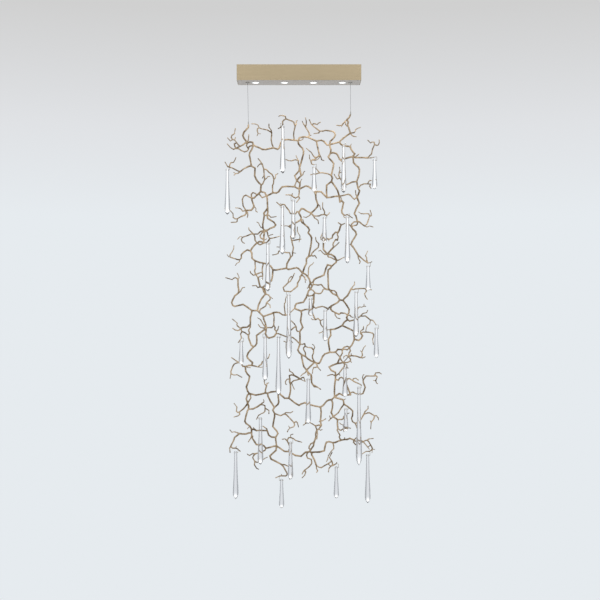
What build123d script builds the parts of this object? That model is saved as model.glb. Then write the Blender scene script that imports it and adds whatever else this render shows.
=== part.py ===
"""Branch chandelier: a ceiling canopy with four spots, two wires, a panel of cast twigs and glass drops.

Lengths are in millimetres. z = 0 is the ceiling, x runs to the right, y runs away from the viewer.
"""
import math
import os

from build123d import *

os.makedirs("parts", exist_ok=True)

# radii of the cast twigs
STEM = 4.2
TWIG = 3.3
TIP = 2.2

# how far the whole panel sits back, so that it balances under the wires
SET_BACK = 14.5

# one list of runs for every cast module of the panel
crown_left = []
crown_middle = []
crown_right = []
upper_left = []
upper_middle = []
upper_inner = []
upper_right = []
lower_left = []
lower_middle = []
lower_right = []
hem_left = []
hem_middle = []
hem_right = []

# depth of every bend already laid, its module, the radii that meet there, and the butt joints
LEFT_TIP = (-253, 288)
RIGHT_TIP = (258, 237)
laid = {LEFT_TIP: 0.0, RIGHT_TIP: 0.0}
home = {}
meets = {}
joints = []


def sway(x, d):
    """Depth of the gently waving sheet that the main stems follow."""
    return SET_BACK + 22 * math.sin(x / 95 + d / 210) + 14 * math.sin(d / 130 - x / 160)


def between(places, along):
    """Value at a length along a twig, from the places where it is known."""
    for (s0, v0), (s1, v1) in zip(places, places[1:]):
        if along <= s1:
            return v0 + (v1 - v0) * (along - s0) / max(s1 - s0, 0.001)
    return places[-1][1]


def twig(into, thick, thin, out, bends, then=None, at=0):
    """Lay a twig through bends (x, depth below the ceiling); its free end leans out from the sheet.

    With a second module given, the twig is cut in the middle of that segment and pinned there.
    """
    along = [0.0]
    for (x0, d0), (x1, d1) in zip(bends, bends[1:]):
        along.append(along[-1] + math.hypot(x1 - x0, d1 - d0))
    places = [(s, laid[bend] - sway(*bend)) for s, bend in zip(along, bends) if bend in laid]
    if not places or places[0][0] > 0:
        places.insert(0, (0.0, 0.0))
    if places[-1][0] < along[-1]:
        places.append((along[-1], out))
    run = []
    for i, (s, bend) in enumerate(zip(along, bends)):
        y = laid.setdefault(bend, sway(*bend) + between(places, s))
        radius = thick + (thin - thick) * s / along[-1]
        run.append((Vector(bend[0], y, -bend[1]), radius, bend))
        home.setdefault(bend, then if then is not None and i > at else into)
        meets.setdefault(bend, []).append(radius)
    if then is None:
        into.append(run)
        return
    (start, r0, bend), (end, r1, bend) = run[at], run[at + 1]
    middle = ((start + end) * 0.5, (r0 + r1) / 2, None)
    into.append(run[:at + 1] + [middle])
    then.append([middle] + run[at + 1:])
    joints.append((into, then, middle[0], end - start, middle[1]))




# crown, left side: the left hanger and the twigs round it
twig(crown_left, STEM, STEM, 0, [(-253, 288), (-253, 302), (-264, 315), (-275, 328), (-280, 345),
     (-275, 358), (-266, 370), (-257, 382)])
twig(crown_left, STEM, STEM, 0, [(-257, 382), (-245, 377), (-232, 378), (-227, 392)])
twig(crown_left, STEM, TWIG, 0, [(-257, 382), (-269, 383), (-278, 391), (-292, 399), (-305, 404),
     (-315, 410)])
twig(crown_left, TWIG, TWIG, 0, [(-315, 410), (-300, 412), (-286, 421), (-271, 427), (-257, 421),
     (-252, 413), (-249, 400), (-240, 396), (-227, 392)])
twig(crown_left, TWIG, TWIG, 0, [(-257, 382), (-262, 396), (-252, 413)])
twig(crown_left, TWIG, TIP, -45, [(-315, 410), (-326, 416), (-340, 409), (-355, 393)])
twig(crown_left, TWIG, TIP, 60, [(-292, 399), (-303, 391), (-311, 379), (-322, 364), (-333, 361),
     (-345, 366), (-361, 347)])
twig(crown_left, TWIG, TIP, 20, [(-333, 361), (-340, 349), (-336, 340), (-323, 332), (-318, 305)])
twig(crown_left, TWIG, TIP, 60, [(-322, 364), (-321, 347)])
twig(crown_left, TWIG, TWIG, 0, [(-311, 379), (-323, 386), (-320, 398), (-315, 410)])
twig(crown_left, TWIG, TIP, -40, [(-257, 382), (-251, 366), (-248, 347)])
twig(crown_left, STEM, STEM, 0, [(-227, 392), (-213, 399), (-195, 405), (-183, 412), (-165, 411),
     (-148, 406), (-128, 402), (-107, 408), (-99, 400), (-92, 376), (-83, 362), (-60, 357),
     (-23, 360), (-5, 362)], crown_middle, 8)
twig(crown_left, STEM, STEM, 0, [(-227, 392), (-236, 415), (-246, 430), (-248, 442), (-243, 465),
     (-238, 495)])
twig(crown_left, TWIG, TWIG, -30, [(-128, 402), (-135, 385), (-139, 365), (-137, 345), (-136, 331)])
twig(crown_left, TWIG, TIP, -70, [(-136, 331), (-147, 325), (-158, 320), (-188, 317), (-197, 313),
     (-203, 301), (-216, 297), (-234, 298)])
twig(crown_left, TWIG, TIP, -20, [(-197, 313), (-206, 318), (-207, 328), (-203, 338), (-209, 349)])
twig(crown_left, TIP, TIP, -20, [(-203, 338), (-191, 338)])
twig(crown_left, TWIG, TIP, -60, [(-136, 331), (-139, 319), (-149, 307), (-149, 292)])
# crown, left side: the limb below the hanger
twig(crown_left, STEM, TWIG, 0, [(-238, 495), (-250, 497), (-262, 502), (-278, 511), (-294, 524)])
twig(crown_left, TWIG, TWIG, 40, [(-294, 524), (-308, 518), (-325, 508), (-337, 501), (-350, 497)])
twig(crown_left, TWIG, TIP, 70, [(-350, 497), (-348, 483), (-344, 474), (-330, 471), (-323, 458),
     (-318, 443)])
twig(crown_left, TWIG, TIP, 30, [(-350, 497), (-359, 494), (-372, 471)])
twig(crown_left, TWIG, TIP, -40, [(-294, 524), (-303, 533), (-315, 537), (-323, 547)])
twig(crown_left, TIP, TIP, -40, [(-315, 537), (-325, 531)])
twig(crown_left, STEM, STEM, 0, [(-238, 495), (-220, 505), (-221, 520), (-222, 542), (-214, 561),
     (-203, 575), (-190, 588)])
twig(crown_left, TWIG, TWIG, -40, [(-190, 588), (-182, 582), (-172, 562), (-174, 540), (-176, 512),
     (-183, 489)])
twig(crown_left, TWIG, TIP, -70, [(-183, 489), (-193, 476), (-203, 466)])
twig(crown_left, TWIG, TIP, -20, [(-183, 489), (-193, 488), (-202, 494), (-208, 503)])
twig(crown_left, TIP, TIP, 10, [(-174, 540), (-185, 554)])
twig(crown_left, TWIG, TIP, 30, [(-172, 562), (-162, 553), (-157, 543), (-146, 541)])
twig(crown_left, TWIG, TWIG, 0, [(-176, 512), (-163, 514), (-150, 527), (-135, 537), (-129, 548),
     (-126, 560), (-128, 580), (-133, 590), (-133, 612), (-131, 626)])
twig(crown_left, TWIG, TIP, 40, [(-126, 560), (-119, 553), (-117, 533), (-106, 525)])
twig(crown_left, STEM, STEM, 0, [(-190, 588), (-192, 603), (-193, 620)])
twig(crown_left, STEM, STEM, 0, [(-193, 620), (-203, 630), (-213, 639), (-225, 651), (-238, 653)])
twig(crown_left, TWIG, TWIG, 0, [(-213, 639), (-218, 630), (-232, 625), (-240, 634), (-238, 653)])
twig(crown_left, STEM, STEM, 0, [(-193, 620), (-185, 622), (-172, 625), (-163, 642)])
twig(crown_left, TWIG, TWIG, 0, [(-203, 630), (-192, 647), (-185, 650), (-172, 645), (-163, 642)])
twig(crown_left, STEM, STEM, 0, [(-163, 642), (-148, 635), (-131, 626)])
twig(crown_left, STEM, STEM, 0, [(-131, 626), (-113, 627), (-102, 621), (-95, 609), (-84, 597),
     (-65, 595), (-22, 597), (1, 610)], crown_middle, 5)
twig(crown_left, TWIG, TWIG, 0, [(-238, 653), (-250, 647), (-267, 638), (-278, 644), (-285, 660),
     (-281, 692), (-267, 714)])
twig(crown_left, STEM, STEM, 0, [(-238, 653), (-236, 665), (-227, 692), (-232, 702), (-240, 712),
     (-258, 717), (-267, 714)])
twig(crown_left, STEM, STEM, 0, [(-163, 642), (-160, 655), (-158, 703)], upper_left, 1)
# crown, middle
twig(crown_middle, TWIG, TWIG, -40, [(-23, 360), (-27, 338), (-26, 322), (-23, 310), (-19, 295)])
twig(crown_middle, TWIG, TWIG, -60, [(-19, 295), (-27, 275), (-37, 271), (-53, 267), (-65, 264)])
twig(crown_middle, TWIG, TIP, -80, [(-65, 264), (-68, 252), (-82, 250), (-96, 252), (-101, 258)])
twig(crown_middle, TWIG, TWIG, -50, [(-65, 264), (-76, 270), (-82, 277), (-80, 291)])
twig(crown_middle, TWIG, TIP, -20, [(-80, 291), (-92, 303), (-105, 308)])
twig(crown_middle, TWIG, TIP, -10, [(-19, 295), (-14, 281), (-14, 266), (-8, 261)])
twig(crown_middle, STEM, STEM, 0, [(-5, 362), (2, 347), (14, 342), (22, 342), (45, 344), (65, 354),
     (88, 365)])
twig(crown_middle, TIP, TIP, 0, [(22, 342), (20, 354), (10, 360), (-5, 362)])
twig(crown_middle, TWIG, TWIG, 30, [(45, 344), (52, 333), (51, 320), (44, 306), (37, 295), (32, 285)])
twig(crown_middle, TWIG, TIP, 60, [(32, 285), (22, 267), (16, 252)])
twig(crown_middle, TWIG, TIP, 10, [(32, 285), (37, 275), (37, 260), (32, 241)])
twig(crown_middle, TIP, TIP, 20, [(52, 333), (61, 332)])
twig(crown_middle, STEM, STEM, 0, [(-5, 362), (-3, 377), (5, 389), (17, 400), (23, 415), (22, 430),
     (17, 450), (9, 480), (3, 500)])
twig(crown_middle, STEM, STEM, 0, [(88, 365), (102, 360), (112, 361), (126, 368), (141, 387),
     (153, 386)], crown_right, 2)
twig(crown_middle, STEM, TWIG, -20, [(88, 365), (91, 385), (95, 405), (99, 425), (102, 436),
     (97, 446), (90, 452)])
twig(crown_middle, TWIG, TWIG, -40, [(90, 452), (80, 462), (66, 466), (60, 476)])
twig(crown_middle, TWIG, TIP, -30, [(60, 476), (63, 488), (75, 491)])
twig(crown_middle, TIP, TIP, -70, [(60, 476), (53, 462), (51, 444)])
twig(crown_middle, TWIG, TIP, -70, [(90, 452), (78, 452), (70, 444), (62, 431), (50, 422), (35, 411)])
twig(crown_middle, TWIG, TIP, 25, [(102, 436), (109, 447), (114, 461), (127, 463)])
twig(crown_middle, TIP, TIP, 0, [(102, 436), (102, 454), (91, 465), (77, 469), (66, 466)])
twig(crown_middle, TWIG, TWIG, -30, [(3, 500), (-4, 478), (-3, 468)])
twig(crown_middle, TWIG, TIP, -60, [(-3, 468), (-20, 465), (-38, 472), (-52, 472), (-67, 466)])
twig(crown_middle, TIP, TIP, -40, [(-3, 468), (-10, 455), (-16, 442)])
twig(crown_middle, STEM, TWIG, 0, [(3, 500), (0, 517), (-13, 532), (-22, 541), (-17, 553), (-11, 566)])
twig(crown_middle, STEM, STEM, 20, [(3, 500), (8, 528), (11, 542), (0, 552), (-11, 566)])
twig(crown_middle, TWIG, TIP, 50, [(11, 542), (19, 535), (23, 520), (30, 513)])
twig(crown_middle, TWIG, TWIG, 0, [(-11, 566), (-18, 570), (-20, 588), (-22, 597)])
twig(crown_middle, STEM, STEM, 0, [(-11, 566), (-3, 572), (5, 581), (4, 592), (1, 610)])
twig(crown_middle, TIP, TIP, -30, [(5, 581), (8, 571), (15, 562)])
twig(crown_middle, STEM, STEM, 0, [(1, 610), (20, 601), (32, 595), (45, 597), (65, 611), (78, 626),
     (83, 640)])
twig(crown_middle, TWIG, TWIG, -30, [(1, 610), (1, 630), (-2, 650)])
twig(crown_middle, TWIG, TIP, -60, [(-2, 650), (3, 659), (-3, 669), (-13, 683)])
twig(crown_middle, TWIG, TWIG, -20, [(-2, 650), (-17, 657), (-28, 651), (-37, 642)])
twig(crown_middle, TWIG, TIP, -45, [(-37, 642), (-52, 641), (-68, 642)])
twig(crown_middle, TIP, TIP, -20, [(-37, 642), (-32, 632)])
# crown, right side: the right hanger and the twigs round it
twig(crown_right, STEM, STEM, 0, [(258, 237), (251, 252), (240, 262), (247, 274), (243, 288),
     (249, 303), (257, 330)])
twig(crown_right, TWIG, TWIG, -20, [(240, 262), (232, 270), (222, 281), (215, 292)])
twig(crown_right, TWIG, TIP, -40, [(232, 270), (232, 288), (239, 303)])
twig(crown_right, TIP, TIP, -40, [(215, 292), (212, 304)])
twig(crown_right, TWIG, TIP, -60, [(215, 292), (200, 297), (185, 297)])
twig(crown_right, TWIG, TIP, 50, [(257, 330), (277, 325), (284, 314), (285, 307), (295, 301),
     (311, 293)])
twig(crown_right, TWIG, TIP, -30, [(257, 330), (262, 339), (272, 349), (287, 353)])
twig(crown_right, STEM, STEM, 0, [(153, 386), (170, 381), (187, 377), (203, 373)])
twig(crown_right, STEM, STEM, 0, [(203, 373), (211, 364), (222, 354), (240, 341), (257, 330)])
twig(crown_right, STEM, TWIG, 30, [(153, 386), (152, 378), (157, 368), (168, 357), (178, 345),
     (183, 334), (178, 322), (170, 315), (157, 312), (135, 307), (120, 310), (106, 309)])
twig(crown_right, TWIG, TIP, 60, [(106, 309), (100, 317), (88, 317), (75, 317)])
twig(crown_right, TWIG, TWIG, 50, [(106, 309), (93, 298), (79, 286), (67, 274)])
twig(crown_right, TWIG, TIP, 80, [(67, 274), (61, 264), (52, 239)])
twig(crown_right, TWIG, TIP, 30, [(67, 274), (73, 267), (86, 270), (92, 274), (99, 267), (110, 263)])
twig(crown_right, STEM, STEM, 0, [(153, 386), (155, 394), (160, 412), (158, 429)])
twig(crown_right, STEM, STEM, 0, [(158, 429), (150, 440), (147, 448), (153, 458), (164, 469),
     (173, 481), (172, 495), (168, 514), (161, 542)])
twig(crown_right, STEM, STEM, 0, [(158, 429), (172, 427), (186, 431), (194, 440), (203, 461)])
twig(crown_right, STEM, STEM, 0, [(203, 373), (209, 384), (220, 391), (240, 395), (257, 397)])
twig(crown_right, STEM, STEM, 0, [(257, 397), (260, 409), (268, 421), (279, 433), (269, 447)])
twig(crown_right, TIP, TIP, 30, [(257, 397), (263, 380)])
twig(crown_right, STEM, STEM, 0, [(203, 461), (217, 462), (235, 456), (255, 450), (269, 447)])
twig(crown_right, TWIG, TIP, -40, [(203, 461), (212, 472), (227, 481), (229, 495)])
twig(crown_right, STEM, STEM, 0, [(269, 447), (283, 452), (320, 451), (344, 452)])
twig(crown_right, TWIG, TWIG, -40, [(344, 452), (354, 442), (363, 434), (367, 412), (376, 391)])
twig(crown_right, TWIG, TIP, -70, [(376, 391), (373, 381), (362, 382), (354, 387), (339, 375)])
twig(crown_right, TWIG, TIP, -50, [(376, 391), (386, 396), (395, 394), (399, 383), (398, 368)])
twig(crown_right, TWIG, TIP, 25, [(344, 452), (362, 450), (380, 444)])
twig(crown_right, TWIG, TIP, 30, [(269, 447), (281, 447), (291, 440), (303, 429)])
twig(crown_right, STEM, STEM, 0, [(269, 447), (272, 462), (273, 477), (286, 491), (299, 500),
     (303, 512), (301, 535), (297, 550), (289, 571)])
# crown, right side: the limb below the hanger
twig(crown_right, TWIG, TWIG, -30, [(161, 542), (143, 535), (115, 532), (103, 533)])
twig(crown_right, TWIG, TIP, -60, [(103, 533), (93, 523), (83, 513)])
twig(crown_right, TWIG, TIP, -20, [(103, 533), (83, 538), (56, 541)])
twig(crown_right, STEM, STEM, 0, [(161, 542), (167, 556), (162, 574)])
twig(crown_right, STEM, STEM, 0, [(162, 574), (150, 583), (138, 592), (137, 625), (139, 655)])
twig(crown_right, STEM, STEM, 0, [(162, 574), (170, 584), (186, 608), (193, 620), (201, 647)])
twig(crown_right, STEM, STEM, 0, [(139, 655), (160, 653), (180, 648), (201, 647)])
twig(crown_right, STEM, STEM, 0, [(139, 655), (124, 640), (110, 625), (95, 621), (85, 625),
     (83, 640)], crown_middle, 1)
twig(crown_middle, STEM, STEM, 0, [(83, 640), (85, 662), (94, 688)])
twig(crown_right, STEM, STEM, 0, [(201, 647), (200, 670), (204, 677), (213, 670), (222, 679),
     (217, 704), (213, 718), (215, 730), (222, 739)])
twig(crown_right, TIP, TIP, 0, [(201, 647), (211, 655), (213, 670)])
twig(crown_right, STEM, TWIG, 0, [(289, 571), (265, 575), (252, 582), (231, 592)])
twig(crown_right, TWIG, TWIG, -30, [(231, 592), (219, 587), (213, 573), (203, 560)])
twig(crown_right, TWIG, TIP, -60, [(203, 560), (190, 565), (181, 556), (172, 541)])
twig(crown_right, TWIG, TIP, -20, [(203, 560), (197, 545), (199, 533), (204, 520), (201, 502)])
twig(crown_right, TIP, TIP, -40, [(199, 533), (214, 531)])
twig(crown_right, TWIG, TIP, 30, [(231, 592), (227, 601), (213, 604)])
twig(crown_right, STEM, STEM, 0, [(289, 571), (297, 577), (296, 605)])
twig(crown_right, TWIG, TWIG, 40, [(296, 605), (312, 586), (330, 578), (347, 577)])
twig(crown_right, TWIG, TIP, 70, [(347, 577), (354, 564), (359, 557), (369, 556)])
twig(crown_right, TWIG, TIP, 20, [(347, 577), (362, 578), (357, 590), (365, 603)])
twig(crown_right, STEM, STEM, 0, [(296, 605), (304, 617), (299, 632), (291, 650)])
twig(crown_right, TWIG, TIP, -30, [(291, 650), (284, 637), (281, 618)])
twig(crown_right, TWIG, TWIG, 0, [(291, 650), (277, 661), (268, 653), (257, 641), (247, 636),
     (232, 640), (217, 644), (201, 647)])
twig(crown_right, STEM, STEM, 0, [(291, 650), (297, 667), (303, 679), (288, 705), (278, 723),
     (277, 733), (285, 743), (293, 772)], upper_right, 2)
# twigs at the foot of the crown, left and right
twig(crown_left, TIP, TIP, -20, [(-227, 692), (-217, 704), (-217, 719), (-207, 724)])
twig(crown_left, TWIG, TIP, 50, [(-267, 714), (-285, 717), (-291, 707), (-300, 701), (-323, 697)])
twig(crown_left, STEM, TWIG, 0, [(-267, 714), (-266, 729), (-274, 738), (-293, 745), (-311, 756)])
twig(crown_left, TWIG, TIP, 40, [(-311, 756), (-312, 768), (-318, 772), (-346, 772)])
twig(crown_left, TWIG, TIP, -50, [(-311, 756), (-321, 757), (-330, 751), (-330, 733), (-345, 717)])
twig(crown_left, TWIG, TIP, -30, [(-267, 714), (-258, 727), (-257, 740), (-260, 753)])
twig(crown_right, TWIG, TIP, 30, [(222, 739), (231, 742), (240, 737), (252, 742), (262, 748),
     (271, 753)])
twig(crown_right, TIP, TIP, -20, [(222, 739), (224, 752), (235, 757)])
# upper left
twig(upper_left, STEM, STEM, 0, [(-158, 703), (-165, 711), (-177, 727), (-175, 740), (-178, 757),
     (-183, 783), (-182, 803), (-173, 815)])
twig(upper_left, STEM, STEM, 0, [(-158, 703), (-157, 722), (-160, 737), (-158, 753), (-145, 762),
     (-127, 773), (-117, 787), (-124, 796), (-145, 804), (-158, 812), (-173, 815)])
twig(upper_left, TWIG, TWIG, 0, [(-175, 740), (-160, 737)])
twig(upper_left, TWIG, TIP, 30, [(-160, 737), (-152, 737), (-143, 747), (-130, 746), (-113, 742)])
twig(upper_left, TIP, TIP, -30, [(-182, 803), (-192, 799), (-199, 788), (-203, 778), (-213, 773)])
twig(upper_left, TWIG, TWIG, 0, [(-173, 815), (-190, 817), (-198, 822), (-208, 832), (-230, 832)])
twig(upper_left, TWIG, TWIG, 0, [(-230, 832), (-223, 846), (-222, 863), (-212, 877)])
twig(upper_left, TWIG, TWIG, 40, [(-230, 832), (-242, 831), (-263, 839), (-287, 846)])
twig(upper_left, TWIG, TIP, 60, [(-287, 846), (-293, 855), (-292, 865), (-285, 873), (-276, 876)])
twig(upper_left, TIP, TIP, 20, [(-287, 846), (-298, 842), (-312, 858)])
twig(upper_left, TWIG, TIP, -30, [(-230, 832), (-245, 818), (-251, 812), (-253, 801)])
twig(upper_left, TWIG, TWIG, 0, [(-173, 815), (-186, 825), (-197, 840), (-193, 852), (-178, 861)])
twig(upper_left, STEM, STEM, 0, [(-173, 815), (-177, 838), (-178, 861), (-177, 877)])
twig(upper_left, TWIG, TWIG, 0, [(-173, 815), (-160, 822), (-156, 843), (-148, 855), (-155, 868),
     (-164, 876), (-177, 877)])
twig(upper_left, TIP, TIP, -15, [(-178, 861), (-168, 861), (-162, 856)])
twig(upper_left, TWIG, TIP, 40, [(-148, 855), (-137, 853), (-123, 850), (-98, 842)])
twig(upper_left, TIP, TIP, 30, [(-156, 843), (-145, 837), (-131, 832)])
twig(upper_left, STEM, STEM, 0, [(-177, 877), (-187, 872), (-200, 870), (-212, 877)])
twig(upper_left, TWIG, TWIG, 0, [(-177, 877), (-188, 883), (-197, 887), (-212, 877)])
twig(upper_left, STEM, STEM, 0, [(-212, 877), (-222, 886), (-237, 903), (-245, 917)])
twig(upper_left, STEM, TWIG, 20, [(-245, 917), (-253, 912), (-262, 912), (-280, 924), (-292, 937),
     (-291, 952), (-300, 962)])
twig(upper_left, TWIG, TWIG, 50, [(-300, 962), (-312, 960), (-330, 954), (-348, 948)])
twig(upper_left, TWIG, TIP, 70, [(-348, 948), (-351, 937), (-341, 921), (-333, 904), (-332, 886)])
twig(upper_left, TIP, TIP, 40, [(-348, 948), (-357, 945), (-365, 934)])
twig(upper_left, TIP, TIP, 0, [(-300, 962), (-301, 972), (-314, 981), (-321, 992)])
twig(upper_left, STEM, STEM, 0, [(-245, 917), (-238, 928), (-237, 955), (-222, 967), (-198, 976),
     (-180, 979), (-157, 985), (-140, 997), (-131, 1013)])
twig(upper_left, STEM, STEM, 0, [(-131, 1013), (-117, 1015), (-87, 1010), (-63, 1006)], upper_middle, 1)
twig(upper_left, STEM, STEM, 0, [(-131, 1013), (-132, 1030), (-133, 1047), (-138, 1068),
     (-147, 1077), (-162, 1084), (-183, 1103)])
twig(upper_left, TWIG, TWIG, -20, [(-222, 967), (-221, 985), (-219, 1005), (-223, 1020),
     (-217, 1037), (-205, 1053)])
twig(upper_left, TWIG, TWIG, 0, [(-180, 979), (-182, 993), (-185, 1005), (-184, 1025), (-182, 1045)])
twig(upper_left, TWIG, TWIG, 0, [(-184, 1025), (-200, 1030), (-217, 1037)])
twig(upper_left, TWIG, TWIG, 0, [(-182, 1045), (-193, 1046), (-205, 1053)])
twig(upper_left, TIP, TIP, -20, [(-182, 1045), (-182, 1060), (-190, 1062)])
twig(upper_left, TWIG, TIP, -50, [(-217, 1037), (-228, 1042), (-242, 1029), (-243, 1019)])
twig(upper_left, STEM, STEM, 0, [(-205, 1053), (-202, 1067), (-198, 1085), (-194, 1099), (-183, 1103)])
twig(upper_left, TWIG, TIP, 40, [(-194, 1099), (-207, 1102), (-215, 1093), (-237, 1093)])
twig(upper_left, STEM, STEM, 0, [(-183, 1103), (-185, 1112), (-175, 1125), (-167, 1135)])
twig(upper_left, TWIG, TWIG, 0, [(-183, 1103), (-172, 1108), (-168, 1122), (-167, 1135)])
# upper middle
twig(upper_middle, TWIG, TWIG, -25, [(-2, 727), (-10, 722), (-17, 734), (-28, 737), (-43, 732),
     (-52, 715), (-63, 702), (-72, 688), (-82, 687)])
twig(upper_middle, TWIG, TIP, -50, [(-82, 687), (-90, 692), (-98, 690), (-112, 677)])
twig(upper_middle, STEM, STEM, 0, [(-2, 727), (8, 742), (11, 752), (9, 765)])
twig(upper_middle, STEM, STEM, 0, [(-2, 727), (7, 716), (13, 708), (25, 711), (38, 721), (60, 731)])
twig(crown_middle, STEM, STEM, 0, [(94, 688), (92, 700), (72, 722), (60, 731)], upper_middle, 1)
twig(crown_middle, TWIG, TIP, -30, [(94, 688), (102, 695), (108, 718)])
twig(upper_middle, STEM, STEM, 0, [(60, 731), (65, 738), (73, 746)])
twig(upper_middle, TWIG, TIP, 20, [(60, 731), (54, 742), (46, 747), (35, 752), (22, 748)])
twig(upper_middle, TWIG, TWIG, -20, [(73, 746), (87, 747), (100, 747), (110, 742), (126, 741)])
twig(upper_middle, TWIG, TIP, -50, [(126, 741), (127, 728), (117, 710), (117, 682)])
twig(upper_middle, TWIG, TIP, -15, [(126, 741), (138, 747), (147, 738), (153, 729)])
twig(upper_middle, TWIG, TIP, 30, [(73, 746), (77, 755), (95, 767), (98, 784)])
twig(upper_middle, STEM, STEM, -20, [(9, 765), (3, 767), (-12, 777), (-32, 787), (-50, 797)])
twig(upper_middle, TIP, TIP, -50, [(-50, 797), (-65, 795), (-80, 798)])
twig(upper_middle, STEM, TWIG, -20, [(-50, 797), (-40, 805), (-33, 820), (-41, 848), (-37, 868)])
twig(upper_middle, TWIG, TWIG, -30, [(-37, 868), (-23, 867), (4, 863)])
twig(upper_middle, TIP, TIP, -60, [(4, 863), (5, 847), (-3, 835), (-8, 823), (-8, 802)])
twig(upper_middle, TIP, TIP, -30, [(4, 863), (0, 878)])
twig(upper_middle, TIP, TIP, -30, [(4, 863), (13, 862)])
twig(upper_middle, TWIG, TWIG, 0, [(-37, 868), (-32, 888), (-28, 903), (-32, 928), (-33, 943),
     (-42, 950)])
twig(upper_middle, TIP, TIP, -20, [(-32, 928), (-16, 932)])
twig(upper_middle, STEM, STEM, 0, [(9, 765), (15, 777), (25, 785), (45, 802), (52, 815), (46, 830),
     (57, 843), (63, 855), (61, 882), (58, 900), (53, 925), (48, 947)])
twig(upper_middle, TIP, TIP, -10, [(9, 765), (20, 764), (25, 785)])
twig(upper_middle, STEM, STEM, 0, [(48, 947), (62, 942)])
twig(upper_middle, TWIG, TWIG, -25, [(62, 942), (65, 931), (77, 918), (96, 903), (99, 885)])
twig(upper_middle, TWIG, TIP, -60, [(99, 885), (88, 876), (83, 867), (82, 854)])
twig(upper_middle, TWIG, TIP, 20, [(62, 942), (70, 945), (80, 942), (89, 956)])
twig(upper_middle, STEM, STEM, 0, [(48, 947), (37, 958), (37, 982), (28, 1000), (18, 1030)])
twig(upper_middle, TWIG, TWIG, 20, [(-42, 950), (-47, 928), (-58, 927), (-72, 925), (-88, 915)])
twig(upper_middle, TWIG, TIP, 40, [(-88, 915), (-103, 919), (-105, 930), (-120, 935), (-136, 937)])
twig(upper_middle, TIP, TIP, 20, [(-88, 915), (-96, 898), (-114, 897)])
twig(upper_middle, STEM, STEM, 0, [(-42, 950), (-52, 968), (-60, 982), (-63, 1006)])
twig(upper_middle, STEM, STEM, 0, [(-63, 1006), (-53, 1012), (-18, 1010), (-12, 1003), (-2, 1008),
     (18, 1030)])
twig(upper_middle, STEM, STEM, 0, [(18, 1030), (31, 1035), (34, 1046), (43, 1047), (52, 1060),
     (57, 1080)])
twig(upper_middle, TWIG, TWIG, -20, [(18, 1030), (13, 1039), (18, 1044), (28, 1051), (30, 1060)])
twig(upper_middle, TIP, TIP, -30, [(30, 1060), (39, 1067)])
twig(upper_middle, TIP, TIP, -40, [(30, 1060), (32, 1079)])
twig(upper_middle, TWIG, TIP, 40, [(43, 1047), (47, 1035), (47, 1018), (49, 1003), (55, 992),
     (67, 985), (75, 974)])
twig(upper_middle, STEM, TWIG, -20, [(13, 1039), (6, 1049), (5, 1060), (-7, 1080), (-8, 1096),
     (-22, 1108), (-42, 1124)])
twig(upper_middle, TWIG, TWIG, -30, [(-42, 1124), (-50, 1123), (-73, 1121), (-79, 1103),
     (-62, 1087), (-53, 1078)])
twig(upper_middle, TWIG, TIP, -50, [(-53, 1078), (-43, 1072), (-37, 1062), (-32, 1054), (-22, 1031)])
twig(upper_middle, TIP, TIP, -35, [(-53, 1078), (-53, 1066), (-46, 1055), (-38, 1047), (-32, 1054)])
twig(upper_middle, STEM, STEM, 0, [(57, 1080), (49, 1098), (57, 1112)])
twig(upper_middle, TIP, TIP, -30, [(49, 1098), (41, 1107)])
twig(upper_middle, STEM, STEM, 0, [(57, 1080), (66, 1094), (57, 1112)])
twig(upper_middle, STEM, STEM, 0, [(57, 1112), (48, 1118), (44, 1131)])
twig(upper_middle, TWIG, TWIG, 0, [(57, 1112), (68, 1115), (82, 1130)])
twig(upper_middle, TWIG, TWIG, 0, [(57, 1080), (71, 1074)])
twig(upper_middle, TWIG, TWIG, 0, [(71, 1074), (72, 1088), (82, 1088), (95, 1090), (112, 1087),
     (122, 1099), (130, 1108)])
twig(upper_middle, TWIG, TWIG, 0, [(72, 1088), (66, 1094)])
twig(upper_middle, TWIG, TWIG, 0, [(130, 1108), (121, 1113), (117, 1123), (108, 1132), (98, 1133),
     (82, 1130)])
twig(upper_middle, STEM, STEM, 0, [(130, 1108), (140, 1112), (152, 1113)])
# upper right
twig(upper_right, TWIG, TWIG, 0, [(293, 772), (275, 774), (263, 786), (262, 799)])
twig(upper_right, TWIG, TWIG, 0, [(293, 772), (293, 783), (288, 790), (275, 792), (262, 799)])
twig(upper_right, TWIG, TIP, -30, [(262, 799), (255, 793), (247, 787)])
twig(upper_right, STEM, TWIG, 20, [(293, 772), (303, 773), (315, 782), (330, 792)])
twig(upper_right, TWIG, TWIG, 40, [(330, 792), (342, 783), (348, 768), (358, 740)])
twig(upper_right, TWIG, TIP, 60, [(358, 740), (354, 728), (340, 727), (328, 728), (315, 727),
     (300, 717)])
twig(upper_right, TWIG, TIP, 70, [(358, 740), (367, 737), (367, 724), (362, 706)])
twig(upper_right, TIP, TIP, 10, [(330, 792), (343, 797), (356, 792), (375, 798)])
twig(upper_right, STEM, STEM, 0, [(262, 799), (270, 810), (283, 822), (288, 836), (278, 854),
     (267, 870), (260, 887)])
twig(upper_right, TIP, TIP, -20, [(260, 887), (251, 887)])
twig(upper_right, STEM, STEM, 0, [(260, 887), (268, 895), (280, 912), (297, 940)])
twig(upper_right, STEM, TWIG, 20, [(297, 940), (307, 948), (327, 965), (347, 978)])
twig(upper_right, TWIG, TIP, 50, [(347, 978), (342, 965), (342, 951), (336, 941), (342, 930),
     (349, 915)])
twig(upper_right, TIP, TIP, 30, [(347, 978), (358, 977), (369, 971)])
twig(upper_right, TWIG, TIP, -30, [(297, 940), (298, 957), (307, 973), (301, 984)])
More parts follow.
